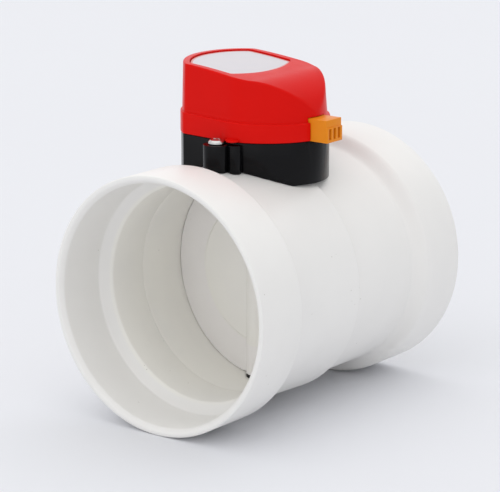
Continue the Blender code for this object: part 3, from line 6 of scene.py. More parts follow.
import bmesh
import bpy
from bpy.props import FloatProperty, FloatVectorProperty, IntProperty, PointerProperty
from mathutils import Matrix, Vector

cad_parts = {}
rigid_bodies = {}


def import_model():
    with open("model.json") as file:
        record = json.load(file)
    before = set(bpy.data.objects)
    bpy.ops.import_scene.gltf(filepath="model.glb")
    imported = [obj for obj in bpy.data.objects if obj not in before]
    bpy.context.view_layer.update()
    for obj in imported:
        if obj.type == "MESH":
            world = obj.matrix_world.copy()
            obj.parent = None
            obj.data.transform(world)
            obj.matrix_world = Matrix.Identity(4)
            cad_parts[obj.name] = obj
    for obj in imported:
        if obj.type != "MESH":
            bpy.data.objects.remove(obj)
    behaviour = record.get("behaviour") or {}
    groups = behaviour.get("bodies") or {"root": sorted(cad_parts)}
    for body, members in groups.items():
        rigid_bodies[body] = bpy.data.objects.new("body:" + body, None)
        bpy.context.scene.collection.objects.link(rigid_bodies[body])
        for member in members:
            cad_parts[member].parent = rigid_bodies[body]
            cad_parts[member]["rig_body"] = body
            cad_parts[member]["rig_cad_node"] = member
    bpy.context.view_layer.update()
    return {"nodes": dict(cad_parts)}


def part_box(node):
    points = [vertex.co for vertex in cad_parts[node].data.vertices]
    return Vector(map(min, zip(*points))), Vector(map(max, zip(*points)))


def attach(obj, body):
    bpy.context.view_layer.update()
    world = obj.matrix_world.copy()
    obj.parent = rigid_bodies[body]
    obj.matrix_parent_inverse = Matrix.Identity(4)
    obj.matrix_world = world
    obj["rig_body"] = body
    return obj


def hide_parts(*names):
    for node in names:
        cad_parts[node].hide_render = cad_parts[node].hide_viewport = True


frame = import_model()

bl_info = {
    "name": "Motorized duct damper",
    "version": (1, 0, 0),
    "blender": (4, 5, 0),
    "location": "View3D > Sidebar > Damper",
    "description": "Builds the finished surfaces of a motorized duct damper",
    "category": "Add Mesh",
}

STILL = "duct_and_housing"
TURNING = "blade_and_shaft"
BODY_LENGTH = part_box("outlet_body")[1].y
SPINDLE_Y = BODY_LENGTH / 2
TONGUE_HEIGHT = 0.0025
SEAM_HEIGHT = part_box("actuator_base")[1].z - TONGUE_HEIGHT
FLOOR_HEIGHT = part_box("inlet_body")[0].z
FLOOR_GAP = 0.0001
CLOSED_TURN = math.radians(-5)
MERGE = 0.000002
CUT_PAST = 0.002
CORNER_SHARE = 0.4
MOST_OF_WALL = 0.6
MOST_OF_ROOF = 0.35
TONE_BLEND = 0.001
GREY = (0.8, 0.8, 0.8, 1.0)
SOCKET_KINDS = {"Color": "NodeSocketColor", "Stretch": "NodeSocketVector"}
LAMP_DISTANCE = 2.0
LAMP_ANGLES = {"overhead": (40, 85), "front": (37, 30), "side": (-15, 12), "rear": (215, 50)}


def number(name, description, default, **limits):
    return FloatProperty(name=name, description=description, default=default, **limits)


def place(name, description, default):
    return number(name, description, default, unit="LENGTH", precision=4)


def length(name, description, default):
    return number(name, description, default, min=0.0, unit="LENGTH", precision=4)


def colour(name, description, default):
    return FloatVectorProperty(
        name=name, description=description, default=default, size=3, min=0.0, max=1.0, subtype="COLOR"
    )


class DuctSizes(bpy.types.PropertyGroup):
    bore_radius: length("Bore radius", "Inside of the duct past the sockets", 0.0500)
    socket_radius: length("Socket radius", "Inside of each pipe socket", 0.0552)
    socket_depth: length("Socket depth", "How far a pipe goes in", 0.0255)
    socket_wall: length("Socket wall", "Wall of each bell", 0.0038)
    lead_in: length("Lead-in", "Width of the chamfer at each mouth", 0.0018)
    lead_in_depth: length("Lead-in depth", "Depth of the chamfer at each mouth", 0.0022)
    inner_shoulder: length("Inner shoulder", "Length of the stop behind each socket", 0.0045)
    outer_shoulder: length("Outer shoulder", "Length of the step behind each bell", 0.0025)
    shoulder_ease: length("Shoulder ease", "How far the step runs out into bell and waist", 0.0024)
    inlet_bell: length("Inlet bell length", "Length of the front bell", 0.0297)
    outlet_bell: length("Outlet bell length", "Length of the rear bell", 0.0268)
    inlet_wall: length("Inlet waist wall", "Wall of the front half's waist", 0.0037)
    inlet_draft: length("Inlet waist draft", "Growth of the front waist towards the joint", 0.0018)
    outlet_wall: length("Outlet waist wall", "Wall of the rear half's waist", 0.0030)
    spigot_length: length("Spigot length", "How far the rear half reaches into the front one", 0.0260)
    spigot_wall: length("Spigot wall", "Wall of the rear half's spigot", 0.0024)
    joint_offset: length("Joint offset", "Distance from the shaft to the joint", 0.0004)
    gap: length("Fit gap", "Gap between pieces that meet", 0.0003)
    edge: length("Edge radius", "Rounding of the moulded edges", 0.0007)
    lip: length("Lip radius", "Rounding where the two halves meet inside the bore", 0.00015)
    lip_gap: length("Lip gap", "Open gap between the halves inside the bore", 0.0001)
    boss_radius: length("Boss radius", "Radius of the shaft bosses", 0.0082)
    boss_height: length("Boss height", "Height of the shaft bosses over the axis", 0.0566)
    post_radius: length("Screw post radius", "Radius of the two posts under the ears", 0.0035)
    post_top: length("Screw post height", "Height of the posts over the axis", 0.0600)
    post_hole: length("Post hole radius", "Radius of the hole for each ear screw", 0.0023)
    post_floor: length("Post floor", "How far that hole ends above the post's root", 0.0007)
    bush_bore: length("Bush bore radius", "Radius of the hole for each bush", 0.0063)
    flange_seat: length("Flange seat radius", "Radius of the seat for each bush flange", 0.0070)
    seat_floor: length("Flange seat height", "Distance from the axis to that seat", 0.0504)
    steps: IntProperty(name="Steps", description="Steps round the duct", default=160, min=32)


class BladeSizes(bpy.types.PropertyGroup):
    radius: length("Radius", "Edge of the blade", 0.0497)
    thickness: length("Thickness", "Thickness at the edge", 0.0040)
    centre_radius: length("Centre radius", "Edge of the raised centre", 0.0334)
    centre_rise: length("Centre rise", "Height of the raised centre", 0.0012)
    hub_radius: length("Hub radius", "Radius of the hub round the shaft", 0.0068)
    hub_end: length("Hub end", "Distance from the duct's axis to the hub's ends", 0.0483)
    trim: length("Flat trim", "Distance from the duct's axis to the flats at the poles", 0.0486)
    groove_width: length("Groove width", "Width of the seal groove", 0.0016)
    groove_depth: length("Groove depth", "Depth of the seal groove", 0.0028)
    edge: length("Edge radius", "Rounding of the blade's edges", 0.0002)
    shaft_radius: length("Shaft hole radius", "Radius of the hole for the shaft", 0.0043)
    screw_height: length("Screw height", "Distance from the duct's axis to each screw", 0.0240)
    screw_seat: length("Screw seat radius", "Radius of the seat for a screw's head", 0.0035)
    screw_flat: length("Screw flat", "Distance from the shaft to the flat under a screw", 0.0059)
    screw_way: length("Screw way radius", "Radius of the hole for a screw's shank", 0.0018)


class HousingSizes(bpy.types.PropertyGroup):
    nose_centre: place("Nose centre", "Where the round nose starts", 0.0030)
    nose_length: length("Nose length", "Reach of the nose", 0.0302)
    nose_half: length("Nose half width", "Half width at the nose's start", 0.0296)
    nose_power: number("Nose power", "Fullness of the nose", 1.8)
    end_corner: place("End corner", "Where the bowed end starts", -0.0240)
    end_half: length("End half width", "Half width at the bowed end", 0.0273)
    end_centre: place("End centre", "Centre of the bowed end's arc", -0.0033)
    ledge_end: length("Skirt height, end", "Skirt height at the bowed end", 0.0098)
    ledge_nose: length("Skirt height, nose", "Skirt height at the nose", 0.0082)
    upper_inset: length("Upper inset", "Step from the skirt to the upper walls", 0.0006)
    draft: length("Draft", "How far the walls lean in at the top", 0.0026)
    end_share: number("End share", "Share of the draft at the bowed end", 0.25, min=0.0, max=1.0)
    wall: length("Wall", "Wall of the cover", 0.0020)
    shoulder_x: place("Roof shoulder", "Where the roof starts to fall to the nose", 0.0120)
    shoulder_height: length("Shoulder height", "Roof height there", 0.0949)
    roof_rise: length("Roof rise", "Rise of the roof's arch", 0.0047)
    arch_length: length("Arch length", "Length of the arch", 0.0500)
    roof_end: length("Roof end", "Where the roof meets the nose", 0.0322)
    nose_foot: length("Nose foot", "Roof height at the nose", 0.0760)
    roof_power: number("Roof power", "Fullness of the fall", 1.9)
    edge: length("Edge radius", "Rounding of the cover's outer edges", 0.0009)
    corner: length("Corner reach", "Rounding of the two upright corners", 0.0010)
    ledge_edge: length("Ledge edge", "Rounding of the skirt's top edge", 0.0006)
    seam_edge: length("Seam edge", "Chamfer along the cover's lower edge", 0.0002)
    ear_offset: length("Ear offset", "Distance from the shaft to each ear's screw", 0.0332)
    notch_radius: length("Notch radius", "Radius of the skirt's notch for a screw", 0.0040)
    notch_top: length("Notch top", "Height of that notch", 0.0705)
    lug_x: place("Lug place", "Place of the small tab at the skirt's foot", 0.0063)
    lug_radius: length("Lug radius", "Radius of that tab", 0.0031)
    lug_thickness: length("Lug thickness", "Thickness of that tab", 0.0010)
    base_edge: length("Base edge", "Rounding of the base's edges", 0.0004)
    terminal_edge: length("Terminal edge", "Rounding of the wire terminal's edges", 0.00035)
    head_height: length("Screw head height", "Height of each ear screw's head", 0.0022)
    shank_radius: length("Screw shank radius", "Radius of each ear screw's shank", 0.0020)


class LabelSizes(bpy.types.PropertyGroup):
    corner_near: place("Near corners", "Place of the corners at the bowed end", -0.0232)
    corner_far: place("Far corners", "Place of the corners at the nose", 0.0)
    half: length("Half width", "Half of the label's width", 0.0222)
    bulge_near: length("Near bow", "Bow of the side at the bowed end", 0.0095)
    bulge_far: length("Far bow", "Bow of the side at the nose", 0.0056)
    thickness: length("Thickness", "Thickness of the plate", 0.0007)
    sink: length("Sink", "Depth of the plate's face below the roof", 0.0007)
    border: length("Border", "Gap between the plate and the recess", 0.0003)
    # The rim carries painted red reflection and shade from the recess wall.
    rim: length("Rim", "Width of the tinted rim", 0.0012)
    corner: length("Corner reach", "Rounding of the label's corners", 0.0008)
    edge: length("Edge", "Step that softens the plate's edge and the rim's inside", 0.0001)


class Finishes(bpy.types.PropertyGroup):
    duct: colour("Duct", "White duct plastic", (0.900, 0.889, 0.865))
    blade: colour("Blade", "Slightly warm white of the blade", (0.930, 0.905, 0.885))
    # Painted warm bounce light: a brighter, creamier tone that the duct plastic takes inside the bore and
    # the blade plastic takes inside its raised centre's edge.
    bore: colour("Bore", "Creamier white inside the bore and on the blade's ring", (0.935, 0.920, 0.865))
    seal: colour("Seal", "Pale rubber of the blade's seal", (0.66, 0.64, 0.60))
    cover: colour("Cover", "Red of the cover", (0.73, 0.0060, 0.0035))
    base: colour("Base", "Black of the base", (0.0030, 0.0030, 0.0036))
    terminal: colour("Terminal", "Orange of the terminal", (0.83, 0.265, 0.007))
    label: colour("Label", "White of the label", (0.675, 0.645, 0.67))
    # Painted red reflection and shade from the recess wall, on the label's rim.
    rim_reflection_shade: colour("Label rim", "Pink of the label's rim", (0.70, 0.27, 0.24))
    metal: colour("Steel", "Bright steel", (0.62, 0.61, 0.59))


class StageSettings(bpy.types.PropertyGroup):
    azimuth: number("Azimuth", "Camera turn in degrees", 37.34)
    elevation: number("Elevation", "Camera tilt in degrees", 14.17)
    distance: length("Distance", "From the camera to its aim", 1.1587)
    aim_x: place("Aim X", "Where the camera aims", -0.00643)
    aim_z: place("Aim Z", "Height that the camera aims at", 0.01166)
    lens: number("Lens", "Focal length in mm on 36 mm", 180.0)
    sky: number("Sky", "Strength of the soft surroundings", 0.62)
    overhead: number("Overhead", "Strength of the lamp overhead", 0.72)
    front: number("Front", "Strength of the lamp by the camera", 0.30)
    side: number("Side", "Strength of the lamp before the inlet", 0.30)
    rear: number("Rear", "Strength of the lamp behind", 0.48)
    lamp_size: number("Lamp size", "Width of each lamp in degrees", 90.0)


def deselect():
    if bpy.context.object and bpy.context.object.mode != "OBJECT":
        bpy.ops.object.mode_set(mode="OBJECT")
    bpy.ops.object.select_all(action="DESELECT")


def activate(thing):
    deselect()
    thing.select_set(True)
    bpy.context.view_layer.objects.active = thing


def fix_place(thing):
    """Put an object's place, turn and scale into its mesh."""
    activate(thing)
    bpy.ops.object.transform_apply(location=True, rotation=True, scale=True)


def apply_modifier(thing, kind, **settings):
    activate(thing)
    modifier = thing.modifiers.new(kind.title(), kind)
    for key, value in settings.items():
        setattr(modifier, key, value)
    bpy.ops.object.modifier_apply(modifier=modifier.name)


def round_edges(thing, width, angle, segments=3):
    apply_modifier(
        thing,
        "BEVEL",
        width=width,
        segments=segments,
        limit_method="ANGLE",
        angle_limit=math.radians(angle),
        use_clamp_overlap=True,
        miter_outer="MITER_ARC",
    )


def combine(thing, tool, operation):
    """Boolean with a tool that is removed afterwards."""
    apply_modifier(thing, "BOOLEAN", object=tool, operation=operation, solver="EXACT")
    bpy.data.objects.remove(tool, do_unlink=True)
    return thing


def cut(thing, tool):
    return combine(thing, tool, "DIFFERENCE")


def join(thing, tool):
    return combine(thing, tool, "UNION")


def named(name):
    """Name the object that an operator has just added."""
    thing = bpy.context.object
    thing.name = name
    return thing


def bar(name, radius, low, high, x=0.0, y=SPINDLE_Y, segments=48):
    """Upright round bar between two heights."""
    deselect()
    bpy.ops.mesh.primitive_cylinder_add(
        vertices=segments, radius=radius, depth=high - low, location=(x, y, (low + high) / 2)
    )
    thing = named(name)
    fix_place(thing)
    return thing


def block(name, low, high):
    """Box between two opposite corners."""
    deselect()
    middle = [(a + b) / 2 for a, b in zip(low, high)]
    bpy.ops.mesh.primitive_cube_add(size=1.0, location=middle)
    thing = named(name)
    thing.scale = [b - a for a, b in zip(low, high)]
    fix_place(thing)
    return thing


def weld():
    """Select the whole open mesh and merge the points that lie on one another."""
    bpy.ops.mesh.select_all(action="SELECT")
    bpy.ops.mesh.remove_doubles(threshold=MERGE)


def close_mesh():
    """Turn the open mesh's faces outward and leave edit mode."""
    bpy.ops.mesh.select_all(action="SELECT")
    bpy.ops.mesh.normals_make_consistent(inside=False)
    bpy.ops.object.mode_set(mode="OBJECT")


def spun(name, section, steps, axis, closed=True):
    """Draw a section of (radius, distance) points and spin it about the origin's Y or Z axis."""
    deselect()
    turn_axis = Vector((0.0, 1.0, 0.0) if axis == "Y" else (0.0, 0.0, 1.0))
    points = [Vector((radius, 0.0, 0.0)) + turn_axis * along for radius, along in section]
    if closed:
        points.append(points[0])
    bpy.ops.mesh.primitive_plane_add(size=MERGE, location=points[0])
    thing = named(name)
    fix_place(thing)
    bpy.ops.object.mode_set(mode="EDIT")
    bpy.ops.mesh.select_mode(type="VERT")
    bpy.ops.mesh.merge(type="CENTER")
    for start, end in zip(points, points[1:]):
        bpy.ops.mesh.extrude_region_move(TRANSFORM_OT_translate={"value": end - start})
    weld()
    bpy.ops.mesh.spin(steps=steps, angle=2 * math.pi, center=(0.0, 0.0, 0.0), axis=turn_axis)
    weld()
    close_mesh()
    return thing


def closed_shell(name, rings):
    """Skin over rings of the same number of points, with a face over the first and the last one."""
    deselect()
    bpy.ops.mesh.primitive_circle_add(vertices=len(rings[0]))
    shell = named(name)
    bpy.ops.object.mode_set(mode="EDIT")
    bpy.ops.mesh.select_mode(type="VERT")
    for level, ring in enumerate(rings):
        if level:
            bpy.ops.mesh.extrude_region_move()
        mesh = bmesh.from_edit_mesh(shell.data)
        turn = mesh.verts.layers.int.get("turn") or mesh.verts.layers.int.new("turn")
        rank = mesh.verts.layers.int.get("rank") or mesh.verts.layers.int.new("rank")
        if not level:
            for index, vertex in enumerate(mesh.verts):
                vertex[turn] = index
        for vertex in mesh.verts:
            if vertex.select:
                vertex[rank] = level
                vertex.co = ring[vertex[turn]]
        bmesh.update_edit_mesh(shell.data)
    bpy.ops.mesh.edge_face_add()
    bpy.ops.mesh.select_mode(type="EDGE")
    bpy.ops.mesh.select_all(action="DESELECT")
    mesh = bmesh.from_edit_mesh(shell.data)
    rank = mesh.verts.layers.int["rank"]
    for edge in mesh.edges:
        edge.select = all(vertex[rank] == 0 for vertex in edge.verts)
    bmesh.update_edit_mesh(shell.data)
    bpy.ops.mesh.edge_face_add()
    close_mesh()
    return shell


def merged_copy(node, name):
    """Copy of a CAD node with its loose triangles merged and its flat faces whole again."""
    source = frame["nodes"][node]
    deselect()
    thing = source.copy()
    thing.data = source.data.copy()
    thing.name = name
    thing.parent = None
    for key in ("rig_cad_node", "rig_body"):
        if key in thing:
            del thing[key]
    bpy.context.scene.collection.objects.link(thing)
    activate(thing)
    bpy.ops.object.mode_set(mode="EDIT")
    weld()
    bpy.ops.mesh.dissolve_limited(angle_limit=math.radians(0.5))
    bpy.ops.object.mode_set(mode="OBJECT")
    return thing


def finish_piece(thing, name, material, body, nodes, smooth=35.0):
    """Name a finished piece, give it its material and let it stand for its CAD nodes."""
    for vertex_layer in ("turn", "rank"):
        if vertex_layer in thing.data.attributes:
            thing.data.attributes.remove(thing.data.attributes[vertex_layer])
    fix_place(thing)
    bpy.ops.object.shade_smooth_by_angle(angle=math.radians(smooth))
    thing.name = name
    thing.data.name = name
    thing.data.materials.clear()
    thing.data.materials.append(material)
    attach(thing, body)
    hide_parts(*nodes)


def new_group(name, inputs, outputs):
    """Empty shader group with its sockets and the nodes that carry them."""
    group = bpy.data.node_groups.new(name, "ShaderNodeTree")
    ends = [(key, "INPUT", default) for key, default in inputs.items()]
    ends += [(key, "OUTPUT", None) for key in outputs]
    for key, direction, default in ends:
        kind = SOCKET_KINDS.get(key.split()[-1], "NodeSocketFloat")
        socket = group.interface.new_socket(name=key, in_out=direction, socket_type=kind)
        if default is not None:
            socket.default_value = default
    return group, group.nodes.new("NodeGroupInput").outputs, group.nodes.new("NodeGroupOutput")


def put(tree, socket, value):
    """Set a socket to a number or a colour, or link another node's output to it."""
    if isinstance(value, bpy.types.NodeSocket):
        tree.links.new(value, socket)
    elif socket.type == "RGBA":
        socket.default_value = (*value[:3], 1.0)
    else:
        socket.default_value = value


def feed(tree, node, **values):
    """Put a value or a link into each of a node's named inputs."""
    for key, value in values.items():
        put(tree, node.inputs[key.replace("_", " ")], value)
    return node


def add_node(tree, kind, **values):
    return feed(tree, tree.nodes.new("ShaderNode" + kind), **values)


def noise(tree, coordinates, scale, detail=3.0):
    node = add_node(tree, "TexNoise", Vector=coordinates, Scale=scale, Detail=detail, Roughness=0.55)
    return node.outputs["Fac"]


def remap(tree, value, low, high, to_high):
    """Stretch a value from one range to another that starts at 0."""
    limits = {"From_Min": low, "From_Max": high, "To_Min": 0.0, "To_Max": to_high}
    return add_node(tree, "MapRange", Value=value, **limits).outputs["Result"]


def calculate(tree, operation, first, second):
    node = add_node(tree, "Math")
    node.operation = operation
    put(tree, node.inputs[0], first)
    put(tree, node.inputs[1], second)
    return node.outputs[0]


def mix_colours(tree, factor, first, second):
    node = add_node(tree, "Mix")
    node.data_type = "RGBA"
    tree.links.new(factor, node.inputs["Factor"])
    ends = [socket for socket in node.inputs if socket.type == "RGBA"]
    put(tree, ends[0], first)
    put(tree, ends[1], second)
    return [socket for socket in node.outputs if socket.type == "RGBA"][0]


def object_coordinates(tree):
    return add_node(tree, "TexCoord").outputs["Object"]


def moulded_surface_group(name):
    """Cloudy tone, uneven gloss and fine grain of a moulded part."""
    inputs = {
        "Color": GREY,
        "Cloud Color": GREY,
        "Cloud": 0.3,
        "Cloud Scale": 40.0,
        "Grain Scale": 1500.0,
        "Roughness": 0.4,
        "Roughness Range": 0.08,
    }
    group, given, result = new_group(name, inputs, ("Color", "Roughness", "Height"))
    where = object_coordinates(group)
    cloud = noise(group, where, given["Cloud Scale"])
    amount = remap(group, cloud, 0.35, 0.70, given["Cloud"])
    tone = mix_colours(group, amount, given["Color"], given["Cloud Color"])
    centred = calculate(group, "SUBTRACT", noise(group, where, 130.0, 4.0), 0.5)
    swing = calculate(group, "MULTIPLY", centred, given["Roughness Range"])
    rough = calculate(group, "ADD", given["Roughness"], swing)
    grain = noise(group, where, given["Grain Scale"], 2.0)
    feed(group, result, Color=tone, Roughness=rough, Height=grain)
    return group


def ring_lines_group(name):
    """Fine lines round an axis, as a lathe or a turned mould leaves them."""
    inputs = {"Stretch": (4.0, 900.0, 4.0), "Contrast": 1.0}
    group, given, result = new_group(name, inputs, ("Height",))
    stretch = add_node(group, "VectorMath")
    stretch.operation = "MULTIPLY"
    put(group, stretch.inputs[0], object_coordinates(group))
    put(group, stretch.inputs[1], given["Stretch"])
    lines = noise(group, stretch.outputs["Vector"], 1.0, 2.0)
    feed(group, result, Height=calculate(group, "MULTIPLY", lines, given["Contrast"]))
    return group


def speck_group(name):
    """Sparse tiny specks and dust that lie in white plastic."""
    inputs = {"Color": GREY, "Speck Color": (0.62, 0.60, 0.56, 1.0), "Scale": 260.0, "Size": 0.07}
    group, given, result = new_group(name, inputs, ("Color",))
    where = object_coordinates(group)
    cells = add_node(group, "TexVoronoi", Vector=where, Scale=given["Scale"])
    near = calculate(group, "LESS_THAN", cells.outputs["Distance"], given["Size"])
    chosen = calculate(group, "GREATER_THAN", noise(group, where, 60.0), 0.62)
    mask = calculate(group, "MULTIPLY", near, chosen)
    tone = mix_colours(group, mask, given["Color"], given["Speck Color"])
    feed(group, result, Color=tone)
    return group


GROUP_MAKERS = {
    "Moulded surface": moulded_surface_group,
    "Ring lines": ring_lines_group,
    "Specks": speck_group,
}


def use_group(tree, name, **values):
    """Node that holds a shared shader group, which is made when it is first asked for."""
    node = add_node(tree, "Group")
    node.node_tree = bpy.data.node_groups.get(name) or GROUP_MAKERS[name](name)
    return feed(tree, node, **values)


def moulded_surface(tree, tone, cloud_tone, cloud, rough, **others):
    return use_group(
        tree, "Moulded surface", Color=tone, Cloud_Color=cloud_tone, Cloud=cloud, Roughness=rough, **others
    )


def start_material(name, specular=0.4, **constants):
    """Empty material with its shader; constants go straight onto the shader's sockets."""
    material = bpy.data.materials.new(name)
    material.use_nodes = True
    tree = material.node_tree
    shader = tree.nodes["Principled BSDF"]
    return material, tree, feed(tree, shader, Specular_IOR_Level=specular, **constants)


def dress(tree, shader, surface, depth, tone=None, height=None):
    """Join a surface to a shader, with a bump of a given depth in metres."""
    made = surface.outputs
    bump = add_node(tree, "Bump", Distance=depth, Height=height or made["Height"])
    feed(tree, shader, Base_Color=tone or made["Color"], Roughness=made["Roughness"])
    feed(tree, shader, Normal=bump.outputs["Normal"])


def darker(tone, share_left):
    return tuple(value * share_left for value in tone)


def moulded_plastic(name, tone, rough, cloud=0.3, grain=1500.0, depth=0.00002, gloss=0.4, spread=0.12):
    """Moulded plastic with cloudy tone, uneven gloss and grain."""
    material, tree, shader = start_material(name, gloss)
    surface = moulded_surface(
        tree, tone, darker(tone, 0.86), cloud, rough, Grain_Scale=grain, Roughness_Range=spread
    )
    dress(tree, shader, surface, depth)
    return material


def soft_rubber(name, tone):
    """Matt rubber with a bloom of dust."""
    return moulded_plastic(name, tone, 0.72, cloud=0.7, grain=2200.0, depth=0.00003, spread=0.2)


def tone_by_radius(tree, inner, outer, radius):
    """One tone up to a radius about the duct's axis and another one past it, softly blended."""
    apart = add_node(tree, "SeparateXYZ", Vector=object_coordinates(tree))
    squares = [calculate(tree, "POWER", apart.outputs[axis], 2.0) for axis in ("X", "Z")]
    distance = calculate(tree, "POWER", calculate(tree, "ADD", *squares), 0.5)
    return mix_colours(tree, remap(tree, distance, radius, radius + TONE_BLEND, 1.0), inner, outer)


def duct_plastic(name, inner, outer, radius):
    """White pipe plastic: cloudy, faint ring lines along the duct, sparse specks, and a painted brighter,
    creamier tone of warm bounce light inside a radius.
    """
    material, tree, shader = start_material(name)
    # Painted warm bounce light: the inner tone inside the radius, the plastic's own tone past it.
    tone = tone_by_radius(tree, inner, outer, radius)
    grain = {"Cloud_Scale": 22.0, "Grain_Scale": 900.0, "Roughness_Range": 0.16}
    surface = moulded_surface(tree, tone, darker(outer, 0.93), 0.5, 0.40, **grain)
    specks = use_group(tree, "Specks", Color=surface.outputs["Color"])
    lines = use_group(tree, "Ring lines", Stretch=(3.0, 420.0, 3.0), Contrast=0.8)
    height = calculate(tree, "ADD", surface.outputs["Height"], lines.outputs["Height"])
    dress(tree, shader, surface, 0.00003, specks.outputs["Color"], height)
    return material


def turned_metal(name, tone, rough, stretch):
    """Metal with fine tool lines and a faint uneven stain."""
    material, tree, shader = start_material(name, Metallic=1.0)
    grain = {"Cloud_Scale": 160.0, "Grain_Scale": 2600.0, "Roughness_Range": 0.18}
    surface = moulded_surface(tree, tone, darker(tone, 0.62), 0.35, rough, **grain)
    lines = use_group(tree, "Ring lines", Stretch=stretch)
    dress(tree, shader, surface, 0.00001, height=lines.outputs["Height"])
    return material


def board_laminate(name):
    """Green lacquer over copper tracks."""
    material, tree, shader = start_material(name)
    where = object_coordinates(tree)
    bricks = add_node(tree, "TexBrick", Vector=where, Scale=190.0, Mortar_Size=0.06, Mortar_Smooth=0.1)
    tracks = bricks.outputs["Fac"]
    lacquer = mix_colours(tree, tracks, (0.012, 0.130, 0.050), (0.045, 0.260, 0.090))
    surface = moulded_surface(tree, lacquer, (0.01, 0.10, 0.04), 0.2, 0.32)
    dress(tree, shader, surface, 0.00004, height=tracks)
    return material


def label_paper(tones):
    """Smooth printed film: white face, with painted red reflection and shade from the recess wall on its
    rim, read from the plate's own attribute.
    """
    material, tree, shader = start_material("label_film")
    rim = add_node(tree, "Attribute")
    rim.attribute_name = "rim"
    # Painted reflection and shade: the rim attribute mixes the rim's red into the label's white.
    tone = mix_colours(tree, rim.outputs["Fac"], tones.label, tones.rim_reflection_shade)
    clouds = (0.60, 0.60, 0.66)
    surface = moulded_surface(tree, tone, clouds, 0.25, 0.42, Cloud_Scale=90.0, Grain_Scale=3200.0)
    dress(tree, shader, surface, 0.000008)
    return material


def soft_step(low, high, start, end, steps=10):
    """Curved step from one radius to another, as (radius, distance) pairs."""
    turns = [math.pi * i / steps for i in range(steps + 1)]
    return [
        (low + (high - low) * (1 - math.cos(turn)) / 2, start + (end - start) * turn / math.pi)
        for turn in turns
    ]


def rounded_lip(radius, place_of_lip, rounding, side, steps=4):
    """Quarter round from the bore's wall at one radius to an end face; side is the way the end looks."""
    turns = [math.pi / 2 * i / steps for i in range(steps + 1)]
    return [
        (radius + rounding * (1 - math.cos(turn)), place_of_lip - side * rounding * (1 - math.sin(turn)))
        for turn in turns
    ]


def duct_section(d, length_of_half, bell, waist_start, waist_end):
    """Outer half of a duct section, from the joint to the mouth, as (radius, distance from the mouth)."""
    outside = d.socket_radius + d.socket_wall
    foot = bell + d.outer_shoulder + d.shoulder_ease
    return [
        (waist_end, length_of_half),
        *soft_step(waist_start, outside, foot, bell - d.shoulder_ease),
        (outside, 0.0),
        (d.socket_radius + d.lead_in, 0.0),
        (d.socket_radius, d.lead_in_depth),
        (d.socket_radius, d.socket_depth),
        (d.bore_radius, d.socket_depth + d.inner_shoulder),
    ]


def joint_place(d):
    return SPINDLE_Y + d.joint_offset


def make_inlet_half(d, finish):
    joint = joint_place(d)
    face = joint - d.spigot_length + d.gap - d.lip_gap
    inside = d.bore_radius + d.spigot_wall + d.gap
    waist = d.bore_radius + d.inlet_wall
    section = duct_section(d, joint, d.inlet_bell, waist, waist + d.inlet_draft)
    section += [*rounded_lip(d.bore_radius, face, d.lip, 1), (inside, face), (inside, joint)]
    half = spun("inlet_half", section, d.steps, "Y")
    round_edges(half, d.edge, 25.0)
    reach = d.boss_radius + d.gap
    far = d.socket_radius + d.socket_wall
    for low, high in ((d.bore_radius - CUT_PAST, far), (-far, CUT_PAST - d.bore_radius)):
        cut(half, bar("boss_notch", reach, low, high))
        cut(half, block("boss_slot", (-reach, SPINDLE_Y, low), (reach, joint + CUT_PAST, high)))
    add_screw_post(half, d, -1)
    finish_piece(half, "inlet_half", finish, STILL, ["inlet_body"])


def add_screw_post(half, d, side):
    """Post that an ear screw goes into, standing on the duct's waist."""
    y = SPINDLE_Y + side * bpy.context.scene.damper_housing.ear_offset
    root = d.bore_radius + d.outlet_wall / 2
    join(half, bar("screw_post", d.post_radius, root, d.post_top, y=y))
    cut(half, bar("post_hole", d.post_hole, root + d.post_floor, d.post_top + CUT_PAST, y=y))


def make_outlet_half(d, finish):
    joint = joint_place(d) + d.gap
    start = joint - d.spigot_length
    spigot = d.bore_radius + d.spigot_wall
    waist = d.bore_radius + d.outlet_wall
    outer = duct_section(d, BODY_LENGTH - joint, d.outlet_bell, waist, waist)
    section = [(r, BODY_LENGTH - h) for r, h in outer]
    section += [*rounded_lip(d.bore_radius, start, d.lip, -1), (spigot, start), (spigot, joint)]
    half = spun("outlet_half", section, d.steps, "Y")
    round_edges(half, d.edge, 25.0)
    root = d.bore_radius + d.outlet_wall / 2
    near = d.bore_radius - 2 * CUT_PAST
    bars = (
        (join, "shaft_boss", d.boss_radius, root, d.boss_height),
        (cut, "bush_bore", d.bush_bore, near, d.boss_height + CUT_PAST),
        (cut, "flange_seat", d.flange_seat, near, d.seat_floor),
    )
    for sign in (1, -1):
        for change, name, radius, first, last in bars:
            change(half, bar(name, radius, *sorted((sign * first, sign * last))))
    add_screw_post(half, d, 1)
    finish_piece(half, "outlet_half", finish, STILL, ["outlet_body"])


class DAMPER_OT_duct(bpy.types.Operator):
    """Spin the two white duct halves with their bosses and screw posts"""

    bl_idname = "damper.duct"
    bl_label = "Duct halves"

    def execute(self, context):
        d = context.scene.damper_duct
        tones = context.scene.damper_finishes
        # Painted warm bounce light inside the bore's radius.
        finish = duct_plastic("duct_plastic", tones.bore, tones.duct, d.bore_radius + d.edge)
        make_inlet_half(d, finish)
        make_outlet_half(d, finish)
        return {"FINISHED"}


